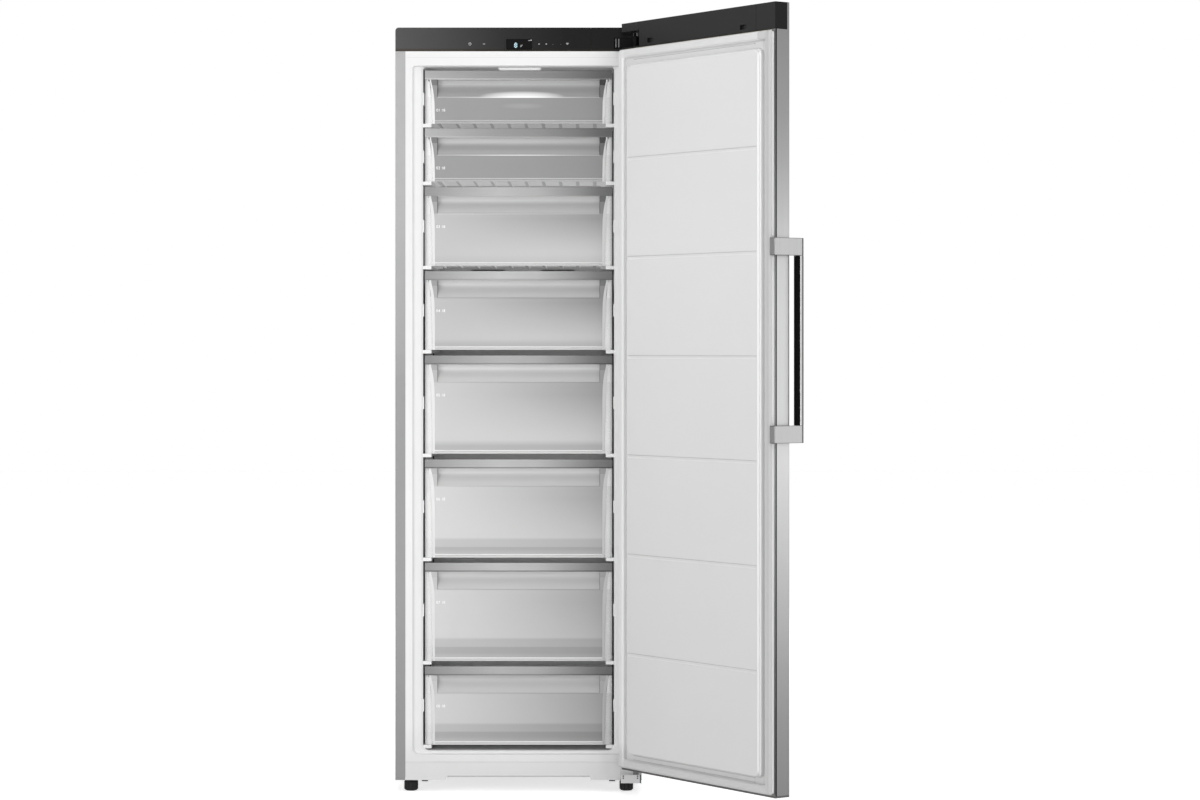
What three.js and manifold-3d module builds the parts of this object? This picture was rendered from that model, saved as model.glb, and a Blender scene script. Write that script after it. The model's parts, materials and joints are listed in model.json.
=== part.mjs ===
// Upright freezer: a tall foamed cabinet with eight drawers behind one hinged door.
// Millimetres, +Z up. While the pieces are made, X runs to the right from the middle of the
// cabinet, Y runs backwards from its front sealing face and Z runs up from the floor.
// The finished group is then moved so that its origin is the bottom centre of its own box.

import * as THREE from 'three';
import { mergeVertices } from 'three/addons/utils/BufferGeometryUtils.js';
import Module from 'manifold-3d';

const wasm = await Module();
wasm.setup();

// ---- Fits ---------------------------------------------------------------------------------

const seatGap = 0.3;
const runningGap = 0.3;
const overcut = 5;

// ---- Cabinet ------------------------------------------------------------------------------

const cabinetWidth = 595;
const cabinetDepth = 595;
const cabinetTop = 1847;
const cabinetBottom = 28.4;
const casingSheet = 1;
const casingCornerRadius = 5;
const frontFlangeWidth = 24;
const rearFlangeWidth = 16;
const rearFlangeTuck = 0.5;
const beadHalfWidth = 12;
const beadTaper = 3;
const beadEndMargin = 60;
const beadShares = [-0.6, 0, 0.6];

// ---- Liner and opening --------------------------------------------------------------------

const sideWall = 66.3;
const ceilingDrop = 95;
const floorRise = 70.6;
const mouthFlare = 25.3;
const mouthRise = 3;
const mouthSink = 9;
const mouthDepth = 15;
const mouthSteps = [[0.1, 1], [0.5, 0.82], [0.75, 0.2], [1, 0]];
const openingCornerRadius = 7;
const openingLowerRadius = 14;
const linerWall = 2.2;
const rearWall = 165;
const humpClearance = 15;
const chamberRoom = 243;
const ledgeWidth = 20;
const ledgeHeight = 8.4;
const ledgeFront = 15;
const guideThickness = 2;
const guideHeight = 30;
const guideDropShare = 0.42;
const humpDepthBehindBulkhead = 40;
const humpWall = 38;

// ---- Fascia and plinth --------------------------------------------------------------------

const fasciaHeight = 57.2;
const fasciaDepth = 20;
const fasciaWall = 2.5;
const fasciaCornerRadius = 8;
const hingeCoverWidth = 122;
const displayWidth = 63;
const displayHeight = 26;
const displayCentreX = 1.4;
const displayLowerEdge = 3.3;
const displayThickness = 2;
const boardThickness = 1.6;
const boardWidth = 270;
const boardHeight = 40;
const boardSetBack = 6;
const displayModuleMargin = 3.5;
const displayModuleTuck = 2;
const touchPadWidth = 12;
const touchPadHeight = 12;
const touchPadRise = 8;
const touchPadPitch = 24;
const touchPadCount = 3;
const touchPadStart = 64;
const connectorWidth = 32;
const connectorHeight = 16;
const connectorDepth = 9;
const relayWidth = 24;
const relayHeight = 24;
const relayDepth = 7;
const partInset = 20;
const partRise = 12;
const plinthHeight = 43.5;
const plinthSheet = 1.5;
const plinthTopReturn = 24;
const plinthBottomReturn = 11;
const plinthRecessHalfWidth = 171;
const plinthRecessHeight = 10.4;
const plinthRecessSlant = 4;
const nubWidth = 17;
const nubDrop = 3.6;
const nubDepth = 6;
const nubInset = 67.5;

// ---- Drawers ------------------------------------------------------------------------------

const drawerParts = [129, 129, 191, 191, 238, 238, 238, 190];
const drawerSpaces = [7.3, 10.9, 13.1, 12.6, 13.2, 13.7, 12.2, 12.9, 13.1];
const drawerSideGap = 4.7;
const drawerFrontPlane = 14;
const drawerBackGap = 14;
const lowestDrawerBackGap = 8;
const drawerTailLength = 112;
const drawerTailRise = 18;
const trimHeight = 22;
const trimSheet = 1.4;
const trimTopDepth = 9;
const trimBevel = 3.2;
const trimBevelDepth = 0.9;
const trimEdge = 0.8;
const trimBackReturn = 4.2;
const windowThickness = 2.2;
const windowRecess = 0.8;
const windowCornerRadius = 8;
const windowLipHeight = 8.5;
const windowLipProud = 1.2;
const gripHalfWidth = 196.5;
const gripHeight = 40;
const gripDepth = 15;
const gripWall = 2;
const gripDrop = 1;
const gripSteps = 7;
const gripCurve = 1.6;
const gripStraight = 11;
const gripBead = 1.2;
const gripBackDrop = 3;
const tubWall = 2.2;
const tubSideGap = 8.6;
const tubDraft = 10.3;
const tubCornerRadius = 8;
const tubFloorHeight = 4.4;
const tubRimDrop = 27;
const tubRimWidth = 8;
const runnerThickness = 2.6;
const runnerReach = 9;
const runnerHeight = 20;
const wingTopWidth = 7.6;
const wingShoulderWidth = 15.6;
const wingFootWidth = 20.4;
const wingShoulderDrop = 54;
const tailRunOn = 10;
const backRimReach = 3;
const ribSetBack = 6;
const ribCount = 10;
const ribPitch = 42;
const ribWidth = 2;
const ribFoot = 0.9;

// ---- Door ---------------------------------------------------------------------------------

const doorOpenDegrees = 125;
const doorBottomRise = 33.2;
const doorTopStep = 3;
const doorThickness = 43;
const doorGap = 15;
const doorSheet = 1;
const doorCornerRadius = 6;
const doorLipWidth = 11;
const topCapHeight = 61;
const bottomCapHeight = 4;
const doorLinerWall = 2.4;
const plugInset = 39;
const plugHeight = 16.5;
const plugRise = 40.9;
const plugDrop = 101.5;
const plugCornerRadius = 14;
const plugProfile = [[0.55, 1], [0.62, 2.5], [0.9, 3.6], [1, 5.6]];
const grooveCount = 6;
const lowestPanelHeight = 239.7;
const highestPanelHeight = 224.8;
const grooveInset = 10;
const grooveWidth = 9;
const grooveFlare = 1;
const grooveDepth = 1.4;
const gasketInset = 2.5;
const gasketRise = 6.5;
const gasketWidth = 20.5;
const gasketHeight = 14.1;
const gasketCornerRadius = 4;

// ---- Door hinges --------------------------------------------------------------------------

const hingeInset = 14;
const hingeForward = 47;
const hingePinRadius = 4;
const hingeEyeRadius = 8;
const hingeArmWidth = 8;
const hingeArmDrop = 49;
const hingeArmHeight = 22;
const hingeArmClearance = 2;
const hingeRootRadius = 4;
const hingeRootBehind = 4;
const hingeAnchorWidth = 24;
const hingeAnchorThickness = 4;
const hingeAnchorBelow = 4;
const hingeAnchorAbove = 8;
const pinRivetRise = 1.8;
const armRoomBelow = 6;
const armRoomAbove = 10;
const armRoomWall = 4;
const bushFloor = 3;
const hingeRootWidth = 58;
const hingeRootForward = 9;
const hingePinDepth = 24;
const hingePlateThickness = 2.5;
const hingePlateWidth = 50;
const hingePlateHeight = 27.3;
const hingePlateInset = 2;
const hingeBaseThickness = 3.4;
const hingeBaseShoulder = 14;
const hingeBaseMargin = 2;
const hingeBaseCorner = 4;
const pinShortening = 6;
const capHoleRadius = 5.5;
const capHoleLength = 26;
const capHoleDepth = 6;
const capHoleRise = 13;
const capHoleInset = 117.5;
const capSeamInset = 71;
const capSeamWidth = 0.8;
const skinReturn = 9;

// ---- Handle -------------------------------------------------------------------------------

const handleDrop = 530.5;
const barCornerRadius = 1.2;
const blockCornerRadius = 1.5;
const handleLength = 461;
const handleBlockHeight = 39.5;
const handleBlockWidth = 18.8;
const handleBlockBehind = 17;
const handleBlockAhead = 66;
const handleBarWidth = 20;
const handleBarThickness = 13;
const handleInsertThickness = 3;

// ---- Base and cooling unit ----------------------------------------------------------------

const basePlateSheet = 1.2;
const basePlateRise = 4.3;
const footRadius = 17;
const footHeight = 24;
const footStudRadius = 5;
const footStudTop = 46;
const footInset = 36.5;
const footCentreY = 32;
const footRim = 2;
const footFlutes = 12;
const footFluteRadius = 1.6;
const footBossWall = 6;
const bulkheadSlope = 40;
const traySheet = 1.5;
const trayRise = 11.6;
const trayUpturn = 14;
const trayFrontGap = 2;
const trayBackGap = 4;
const rollerRadius = 18;
const rollerWidth = 14;
const rollerAxleRadius = 3;
const rollerInset = 47.5;
const rollerFromBack = 37;
const rollerEdge = 1.5;
const rollerSideGap = 1;
const rollerCheek = 2;
const cheekHalfTop = 12;
const cheekHalfFoot = 7;
const axleProud = 1.5;
const compressorRadius = 82;
const compressorStretch = 1.28;
const compressorHeight = 158;
const compressorCentreX = -70;
const compressorFromBack = 127;
const compressorPlate = 3;
const grommetHeight = 9;
const grommetRadius = 11;
const terminalHalfWidth = 28;
const terminalProud = 26;
const terminalCorner = 6;
const dripTrayWidth = 190;
const dripTrayDepth = 130;
const dripTrayHeight = 26;
const dripTrayWall = 2;
const dripTrayFlare = 8;
const dripTrayCorner = 14;
const tubeRadius = 3.5;
const tubeSteps = 24;
const terminalLow = 0.2;
const terminalHigh = 0.62;
const plateReachX = 0.92;
const plateReachY = 0.8;

// ---- Evaporator ---------------------------------------------------------------------------

const pocketInset = 41.2;
const pocketAboveFan = 185;
const pocketHeight = 700;
const pocketDepth = 62;
const coverThickness = 4;
const coverOverlap = 15;
const coverMargin = 16;
const coverCornerRadius = 10;
const slotLength = 87;
const slotHeight = 6;
const slotCentreX = 89;
const slotDrop = 25.2;
const slotRise = 10.9;
const evaporatorInset = 25;
const evaporatorRise = 45;
const evaporatorHeight = 300;
const evaporatorDepth = 46;
const evaporatorRows = 3;
const finCount = 9;
const finThickness = 1.6;
const finDepth = 16;
const bendReach = 8;
const fanRadius = 55;
const fanHubRadius = 17;
const fanBlades = 7;
const fanDepth = 20;
const fanChord = 26;
const fanBladeThickness = 2;
const fanRootPitch = 38;
const fanTipPitch = 24;
const fanGap = 2;
const motorRadius = 21;
const motorLength = 22;
const motorArmWidth = 10;
const motorArmThickness = 5;
const motorArmReach = 12;
const shaftRadius = 2.5;
const shaftLength = 12;
const grilleRings = [20, 36, 52];
const grilleSlotWidth = 6;
const grilleSlotDegrees = 72;

// ---- Lamp ---------------------------------------------------------------------------------

const lampWidth = 104;
const lampDepth = 36;
const lampHeight = 5;
const lampCentreX = 2;
const lampFront = 24;
const lampTaper = 4;
const lampCornerRadius = 6;

// ---- Places worked out from the sizes above -------------------------------------------------

const halfWidth = cabinetWidth / 2;
const fasciaBottom = cabinetTop - fasciaHeight;
const openingHalfWidth = halfWidth - sideWall;
const openingTop = cabinetTop - ceilingDrop;
const openingBottom = cabinetBottom + floorRise;
const mouthHalfWidth = openingHalfWidth + mouthFlare;
const mouthTop = openingTop + mouthRise;
const mouthBottom = openingBottom - mouthSink;
const linerDepth = cabinetDepth - rearWall;
const linerPlateHalfWidth = halfWidth - frontFlangeWidth - seatGap;
const plinthTop = cabinetBottom + plinthHeight;
const linerPlateBottom = plinthTop + seatGap;
const linerPlateTop = fasciaBottom - seatGap;
const casingInside = halfWidth - casingSheet - seatGap;
const backPanelBack = cabinetDepth - casingSheet - seatGap;
const backPanelFront = backPanelBack - casingSheet;
const chamberFront = cabinetDepth - chamberRoom;
const bulkheadFront = chamberFront - casingSheet;
const humpFront = chamberFront - humpDepthBehindBulkhead;
const basePlateBottom = cabinetBottom + basePlateRise;
const trayBottom = cabinetBottom + trayRise;
const footCentreX = halfWidth - footInset;
const rollerCentreX = halfWidth - rollerInset;
const rollerCentreY = cabinetDepth - rollerFromBack;
const compressorCentreY = cabinetDepth - compressorFromBack;
const doorTop = cabinetTop + doorTopStep;
const doorBottom = cabinetBottom + doorBottomRise;
const plugTop = doorTop - plugDrop;
const plugBottom = doorBottom + plugRise;
const handleTop = doorTop - handleDrop;
const hingeArmBottom = cabinetTop - hingeArmDrop;
const hingeX = halfWidth - hingeInset;
const hingeY = -hingeForward;
const doorInner = -doorGap;
const doorFront = doorInner - doorThickness;
const doorHeight = doorTop - doorBottom;
const coverFront = linerDepth - seatGap - coverThickness;
const pocketHalfWidth = openingHalfWidth - pocketInset;
const coverHalfWidth = pocketHalfWidth + coverOverlap;
const evaporatorHalfWidth = pocketHalfWidth - evaporatorInset;
const slimArc = 3;
const cornerSteps = 2;
const slotEndSteps = 1;
const roundSides = 18;
const flatTolerance = 0.002;

// The drawers share the height of the opening between fixed spaces, from the top one down.
const sum = (values) => values.reduce((total, value) => total + value, 0);
const drawerRoom = openingTop - openingBottom - sum(drawerSpaces);
const drawerHeights = drawerParts.map((part) => (part / sum(drawerParts)) * drawerRoom);
const drawerTops = drawerHeights.map((_, index) => (
  openingTop - sum(drawerSpaces.slice(0, index + 1)) - sum(drawerHeights.slice(0, index))
));
const drawerHalfWidth = openingHalfWidth - drawerSideGap;
const drawerDepth = linerDepth - drawerBackGap - drawerFrontPlane;
const lowestDrawerDepth = humpFront - lowestDrawerBackGap - drawerFrontPlane;
const tubHalfWidthTop = drawerHalfWidth - tubSideGap;
const tubHalfWidthBottom = tubHalfWidthTop - tubDraft;

// The step at the cavity's lower back stays under the last but one drawer.
const humpTop = drawerTops[6] - drawerHeights[6] - humpClearance;
const chamberTop = humpTop - humpWall;

// The air slots lie behind three drawers, and the fan and its pocket follow the highest of them.
const slotLevels = [drawerTops[5] - slotDrop, drawerTops[4] - slotDrop, drawerTops[3] + slotRise];
const fanCentreZ = slotLevels[2] - fanRadius;
const pocketTop = fanCentreZ + pocketAboveFan;
const pocketBottom = pocketTop - pocketHeight;
const evaporatorBottom = pocketBottom + evaporatorRise;
const pocketBack = linerDepth + pocketDepth;

// ---- Geometry helpers ------------------------------------------------------------------------

function toSolid(geometry) {
  const bare = geometry.clone();
  bare.deleteAttribute('normal');
  bare.deleteAttribute('uv');
  const merged = mergeVertices(bare, 1e-4);
  const mesh = new wasm.Mesh({
    numProp: 3,
    vertProperties: new Float32Array(merged.attributes.position.array),
    triVerts: new Uint32Array(merged.index.array),
  });
  return new wasm.Manifold(mesh);
}

function toGeometry(solid) {
  const mesh = solid.asOriginal().simplify(flatTolerance).getMesh();
  const geometry = new THREE.BufferGeometry();
  geometry.setAttribute('position', new THREE.BufferAttribute(new Float32Array(mesh.vertProperties), 3));
  geometry.setIndex(new THREE.BufferAttribute(new Uint32Array(mesh.triVerts), 1));
  geometry.computeVertexNormals();
  return geometry;
}

function join(geometries) {
  return geometries.map(toSolid).reduce((whole, next) => whole.add(next));
}

function carve(solid, geometries) {
  return geometries.map(toSolid).reduce((whole, next) => whole.subtract(next), solid);
}

function block(x0, x1, y0, y1, z0, z1) {
  const geometry = new THREE.BoxGeometry(x1 - x0, y1 - y0, z1 - z0);
  return geometry.translate((x0 + x1) / 2, (y0 + y1) / 2, (z0 + z1) / 2);
}

function outline(points) {
  const shape = new THREE.Shape();
  shape.moveTo(points[0][0], points[0][1]);
  points.slice(1).forEach(([a, b]) => shape.lineTo(a, b));
  shape.closePath();
  return shape;
}

function roundedRectangle(a0, a1, b0, b1, radius) {
  const shape = new THREE.Shape();
  shape.moveTo(a0 + radius, b0);
  shape.lineTo(a1 - radius, b0);
  shape.absarc(a1 - radius, b0 + radius, radius, -Math.PI / 2, 0, false);
  shape.lineTo(a1, b1 - radius);
  shape.absarc(a1 - radius, b1 - radius, radius, 0, Math.PI / 2, false);
  shape.lineTo(a0 + radius, b1);
  shape.absarc(a0 + radius, b1 - radius, radius, Math.PI / 2, Math.PI, false);
  shape.lineTo(a0, b0 + radius);
  shape.absarc(a0 + radius, b0 + radius, radius, Math.PI, Math.PI * 1.5, false);
  return shape;
}

function extruded(shape, length, arcSteps = cornerSteps) {
  return new THREE.ExtrudeGeometry(shape, { depth: length, bevelEnabled: false, curveSegments: arcSteps });
}

// The shape's two axes become Y and Z, and it runs from x0 to x1.
function alongX(shape, x0, x1, arcSteps) {
  const turn = new THREE.Matrix4().makeBasis(
    new THREE.Vector3(0, 1, 0),
    new THREE.Vector3(0, 0, 1),
    new THREE.Vector3(1, 0, 0),
  );
  return extruded(shape, x1 - x0, arcSteps).applyMatrix4(turn).translate(x0, 0, 0);
}

// The shape's two axes become X and Z, and it runs from y0 to y1.
function alongY(shape, y0, y1, arcSteps) {
  return extruded(shape, y1 - y0, arcSteps).rotateX(Math.PI / 2).translate(0, y1, 0);
}

function alongZ(shape, z0, z1, arcSteps) {
  return extruded(shape, z1 - z0, arcSteps).translate(0, 0, z0);
}

// A turned piece: the profile's points are [radius, height], from the axis back to the axis.
function turned(profile, sides = roundSides) {
  const points = profile.map(([radius, height]) => new THREE.Vector2(radius, height));
  return new THREE.LatheGeometry(points, sides).rotateX(Math.PI / 2);
}

function rod(radius, z0, z1, sides = roundSides) {
  return turned([[0, z0], [radius, z0], [radius, z1], [0, z1]], sides);
}

// A ring of points round a rectangle with round corners, standing in the XZ plane at y.
function frameLoop(box, radius, y, lowerRadius = radius) {
  const lower = lowerRadius;
  const corners = [
    [box.x1 - lower, box.z0 + lower, lower, -90],
    [box.x1 - radius, box.z1 - radius, radius, 0],
    [box.x0 + radius, box.z1 - radius, radius, 90],
    [box.x0 + lower, box.z0 + lower, lower, 180],
  ];
  return corners.flatMap(([cx, cz, r, start]) => arcPoints(cx, cz, r, start, start + 90, y));
}

function arcPoints(cx, cz, radius, from, to, y) {
  return Array.from({ length: slimArc + 1 }, (_, i) => {
    const angle = THREE.MathUtils.degToRad(from + ((to - from) * i) / slimArc);
    return new THREE.Vector3(cx + radius * Math.cos(angle), y, cz + radius * Math.sin(angle));
  });
}

function signedVolume(positions, index) {
  const a = new THREE.Vector3();
  const b = new THREE.Vector3();
  const c = new THREE.Vector3();
  let sum = 0;
  for (let i = 0; i < index.length; i += 3) {
    a.fromArray(positions, index[i] * 3);
    b.fromArray(positions, index[i + 1] * 3);
    c.fromArray(positions, index[i + 2] * 3);
    sum += a.dot(b.cross(c));
  }
  return sum;
}

function skin(loops, index) {
  const positions = loops.flat().flatMap((point) => point.toArray());
  if (signedVolume(positions, index) < 0) {
    index.reverse();
  }
  const geometry = new THREE.BufferGeometry();
  geometry.setAttribute('position', new THREE.BufferAttribute(new Float32Array(positions), 3));
  geometry.setIndex(index);
  return geometry;
}

function bandIndex(first, second, count) {
  return Array.from({ length: count }, (_, i) => {
    const next = (i + 1) % count;
    const [a, b, c, d] = [first + i, first + next, second + next, second + i];
    return [a, b, c, a, c, d];
  }).flat();
}

// A closed body through a row of convex loops, with a flat cap on each end.
function loft(loops) {
  const count = loops[0].length;
  const index = [];
  for (let i = 0; i + 1 < loops.length; i += 1) {
    index.push(...bandIndex(i * count, (i + 1) * count, count));
  }
  const last = (loops.length - 1) * count;
  for (let i = 1; i + 1 < count; i += 1) {
    index.push(0, i + 1, i);
    index.push(last, last + i, last + i + 1);
  }
  return skin(loops, index);
}

// A closed ring through loops that come back to the first one, such as a seal round a door.
function ring(loops) {
  const count = loops[0].length;
  const index = loops.flatMap((_, i) => bandIndex(i * count, ((i + 1) % loops.length) * count, count));
  return skin(loops, index);
}

// ---- Materials -------------------------------------------------------------------------------

const finishes = {
  casingSteel: { color: 0x9b9b9c, roughness: 0.45, metalness: 0.55 },
  doorSteel: { color: 0xc3c2c0, roughness: 0.34, metalness: 0.75 },
  brushedTrim: { color: 0xb4b4b8, roughness: 0.3, metalness: 0.9 },
  handleMetal: { color: 0xc6c6c4, roughness: 0.3, metalness: 0.8 },
  zincSteel: { color: 0x9fa1a2, roughness: 0.42, metalness: 0.8 },
  linerWhite: { color: 0xe9e9ea, roughness: 0.38, metalness: 0 },
  doorWhite: { color: 0xdedede, roughness: 0.38, metalness: 0 },
  tubWhite: { color: 0xe6e6e8, roughness: 0.4, metalness: 0 },
  smokyClear: { color: 0x9c9ca2, roughness: 0.12, metalness: 0 },
  lampClear: { color: 0xf4f4f2, roughness: 0.3, metalness: 0 },
  gasketGrey: { color: 0xd2d2d2, roughness: 0.7, metalness: 0 },
  glossBlack: { color: 0x1f1f20, roughness: 0.16, metalness: 0 },
  capBlack: { color: 0x333334, roughness: 0.5, metalness: 0 },
  footBlack: { color: 0x161616, roughness: 0.7, metalness: 0 },
  foamYellow: { color: 0xd9c98e, roughness: 0.9, metalness: 0 },
  boardGreen: { color: 0x2c5a3a, roughness: 0.5, metalness: 0 },
  compressorBlack: { color: 0x1b1c1d, roughness: 0.4, metalness: 0.3 },
  finAluminium: { color: 0xbfc1c3, roughness: 0.35, metalness: 0.9 },
  copper: { color: 0xb36a45, roughness: 0.35, metalness: 0.95 },
};

function piece(name, finish, form) {
  const geometry = form.isBufferGeometry ? toGeometry(toSolid(form)) : toGeometry(form);
  const mesh = new THREE.Mesh(geometry, new THREE.MeshStandardMaterial(finishes[finish]));
  mesh.name = name;
  return mesh;
}

// ---- Casing ----------------------------------------------------------------------------------

function casingSection() {
  const r = casingCornerRadius;
  const t = casingSheet;
  const side = halfWidth - r;
  const top = cabinetTop - r;
  const shape = new THREE.Shape();
  shape.moveTo(-halfWidth, cabinetBottom);
  shape.lineTo(-halfWidth + t, cabinetBottom);
  shape.lineTo(-halfWidth + t, top);
  shape.absarc(-side, top, r - t, Math.PI, Math.PI / 2, true);
  shape.lineTo(side, cabinetTop - t);
  shape.absarc(side, top, r - t, Math.PI / 2, 0, true);
  shape.lineTo(halfWidth - t, cabinetBottom);
  shape.lineTo(halfWidth, cabinetBottom);
  shape.lineTo(halfWidth, top);
  shape.absarc(side, top, r, 0, Math.PI / 2, false);
  shape.lineTo(-side, cabinetTop);
  shape.absarc(-side, top, r, Math.PI / 2, Math.PI, false);
  return shape;
}

// The steel wrapper: two sides and the top in one bent sheet, with flanges at front and back.
function outerCasing() {
  const back = cabinetDepth - casingSheet;
  const inner = halfWidth - frontFlangeWidth;
  const rearInner = halfWidth - rearFlangeWidth;
  const whole = join([
    alongY(casingSection(), 0, cabinetDepth),
    block(-halfWidth, -inner, 0, casingSheet, cabinetBottom, linerPlateTop),
    block(inner, halfWidth, 0, casingSheet, cabinetBottom, linerPlateTop),
    block(-halfWidth, -rearInner, back, cabinetDepth, cabinetBottom, cabinetTop - casingCornerRadius),
    block(rearInner, halfWidth, back, cabinetDepth, cabinetBottom, cabinetTop - casingCornerRadius),
    block(-rearInner - 1, rearInner + 1, back, cabinetDepth,
      cabinetTop - rearFlangeWidth, cabinetTop - rearFlangeTuck),
  ]);
  const behindFascia = fasciaDepth + seatGap;
  const fasciaRoom = block(
    -halfWidth - overcut, halfWidth + overcut, -overcut, behindFascia, linerPlateTop, cabinetTop + overcut,
  );
  return piece('outer_casing', 'casingSteel', carve(whole, [fasciaRoom]));
}

// The steel back sheet, with shallow upright beads pressed outwards.
function backPanel() {
  const z0 = chamberTop + 2 * casingSheet + seatGap;
  const z1 = cabinetTop - casingSheet - seatGap;
  const face = roundedRectangle(-casingInside, casingInside, z0, z1, casingCornerRadius);
  const sheet = alongY(face, backPanelFront, backPanelBack);
  const beads = beadShares.map((share) => {
    const centre = share * casingInside;
    const section = outline([
      [centre - beadHalfWidth, backPanelBack - casingSheet / 2],
      [centre + beadHalfWidth, backPanelBack - casingSheet / 2],
      [centre + beadHalfWidth - beadTaper, backPanelBack + casingSheet],
      [centre - beadHalfWidth + beadTaper, backPanelBack + casingSheet],
    ]);
    return alongZ(section, z0 + beadEndMargin, z1 - beadEndMargin);
  });
  return piece('back_panel', 'zincSteel', join([sheet, ...beads]));
}

// ---- Liner -----------------------------------------------------------------------------------

// share 0 is the straight cavity and share 1 is its wide mouth in the front face.
function openingBox(share, grow) {
  const lerp = THREE.MathUtils.lerp;
  const half = lerp(openingHalfWidth, mouthHalfWidth, share) + grow;
  return {
    x0: -half,
    x1: half,
    z0: lerp(openingBottom, mouthBottom, share) - grow,
    z1: lerp(openingTop, mouthTop, share) + grow,
  };
}

// The space inside the liner, grown by a wall where needed, without the step at its lower back.
function linerSpace(grow, front) {
  const level = (share, y) => (
    frameLoop(openingBox(share, grow), openingCornerRadius + grow, y, openingLowerRadius + grow)
  );
  const loops = [level(1, front)];
  mouthSteps.forEach(([depth, share]) => {
    loops.push(level(share, mouthDepth * depth));
  });
  loops.push(level(0, linerDepth + grow));
  const half = openingHalfWidth + grow + overcut;
  const hump = block(
    -half, half, humpFront + grow, linerDepth + grow + overcut,
    openingBottom - grow - overcut, humpTop - grow,
  );
  const pocket = block(
    -pocketHalfWidth - grow, pocketHalfWidth + grow, linerDepth - overcut, pocketBack + grow,
    pocketBottom - grow, pocketTop + grow,
  );
  return carve(toSolid(loft(loops)), [hump]).add(toSolid(pocket));
}

function drawerBottom(index) {
  return drawerTops[index] - drawerHeights[index];
}

function drawerLength(index) {
  return index === drawerTops.length - 1 ? lowestDrawerDepth : drawerDepth;
}

// Two ledges carry each drawer by its runners, and two low pads above them steer it.
function linerRails(index) {
  const top = drawerBottom(index) - seatGap;
  const back = drawerFrontPlane + drawerLength(index);
  const padTop = drawerTops[index] - guideDropShare * drawerHeights[index];
  const outer = openingHalfWidth + linerWall / 2;
  const inner = openingHalfWidth - ledgeWidth;
  const padInner = openingHalfWidth - guideThickness;
  return [-1, 1].flatMap((side) => {
    const [l0, l1] = side < 0 ? [-outer, -inner] : [inner, outer];
    const [p0, p1] = side < 0 ? [-outer, -padInner] : [padInner, outer];
    return [
      block(l0, l1, ledgeFront, back, top - ledgeHeight, top),
      block(p0, p1, ledgeFront, back, padTop - guideHeight, padTop),
    ];
  });
}

function innerLiner() {
  const plate = block(
    -linerPlateHalfWidth, linerPlateHalfWidth, 0, linerWall, linerPlateBottom, linerPlateTop,
  );
  const outer = linerSpace(linerWall, 0);
  const shell = toSolid(plate).add(outer).subtract(linerSpace(0, -overcut));
  const rails = join(drawerTops.flatMap((_, index) => linerRails(index)));
  return piece('inner_liner', 'linerWhite', shell.add(rails.intersect(outer)));
}

// ---- Foam ------------------------------------------------------------------------------------

// The foam starts behind the fascia's hollow, where the upper hinge is anchored.
const hingeAnchorBack = fasciaDepth + hingeRootBehind + hingeAnchorThickness - 1;
const fasciaFoamFront = hingeAnchorBack + 1;

function foamCore() {
  const bottom = basePlateBottom + basePlateSheet + seatGap;
  const top = cabinetTop - casingSheet - seatGap;
  const back = backPanelFront - seatGap;
  const front = linerWall + seatGap;
  const side = casingInside;
  const face = roundedRectangle(-side, side, bottom, top, casingCornerRadius);
  const whole = toSolid(alongY(face, front, back));
  const behindPlinth = plinthTopReturn + basePlateSheet + 2 * seatGap + 1;
  const cuts = [
    block(-side - overcut, side + overcut, -overcut, behindPlinth, 0, linerPlateBottom),
    block(-side - overcut, side + overcut, -overcut, fasciaFoamFront, linerPlateTop, top + overcut),
    block(-side - overcut, side + overcut, bulkheadFront - seatGap, back + overcut, 0,
      chamberTop + casingSheet + seatGap),
  ];
  const bosses = [-footCentreX, footCentreX].map((x) => {
    const radius = footStudRadius + footBossWall + 2 * seatGap;
    return rod(radius, 0, footStudTop + footBossWall + 3 * seatGap).translate(x, footCentreY, 0);
  });
  const flanges = [-1, 1].map((sideSign) => {
    const inner = halfWidth - frontFlangeWidth - seatGap;
    const [x0, x1] = sideSign < 0 ? [-halfWidth, -inner] : [inner, halfWidth];
    return block(x0, x1, -overcut, casingSheet + seatGap, 0, cabinetTop);
  });
  const solid = carve(whole, [...cuts, ...bosses, ...flanges]);
  return piece('foam_core', 'foamYellow', solid.subtract(linerSpace(linerWall + seatGap, -overcut)));
}

// ---- Plinth and base -------------------------------------------------------------------------

// The white sheet under the door opening, open below in the middle.
function bottomRail() {
  const x = linerPlateHalfWidth;
  const z0 = cabinetBottom;
  const z1 = plinthTop;
  const low = z0 + plinthRecessHeight;
  const inner = plinthRecessHalfWidth;
  const face = outline([
    [-x, z0],
    [-inner - plinthRecessSlant, z0],
    [-inner, low],
    [inner, low],
    [inner + plinthRecessSlant, z0],
    [x, z0],
    [x, z1],
    [-x, z1],
  ]);
  const parts = [
    alongY(face, 0, plinthSheet),
    block(-x, x, 0, plinthTopReturn, z1 - plinthSheet, z1),
    block(-x, -inner - plinthRecessSlant, 0, plinthBottomReturn, z0, z0 + plinthSheet),
    block(inner + plinthRecessSlant, x, 0, plinthBottomReturn, z0, z0 + plinthSheet),
  ];
  return piece('bottom_rail', 'linerWhite', join(parts));
}

// Two small stops pressed down out of the base sheet, beside the feet.
function baseNubs(front) {
  const centre = halfWidth - nubInset;
  return [-centre, centre].map((x) => (
    block(x - nubWidth / 2, x + nubWidth / 2, front, front + nubDepth,
      cabinetBottom - nubDrop, basePlateBottom + basePlateSheet / 2)
  ));
}

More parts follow.
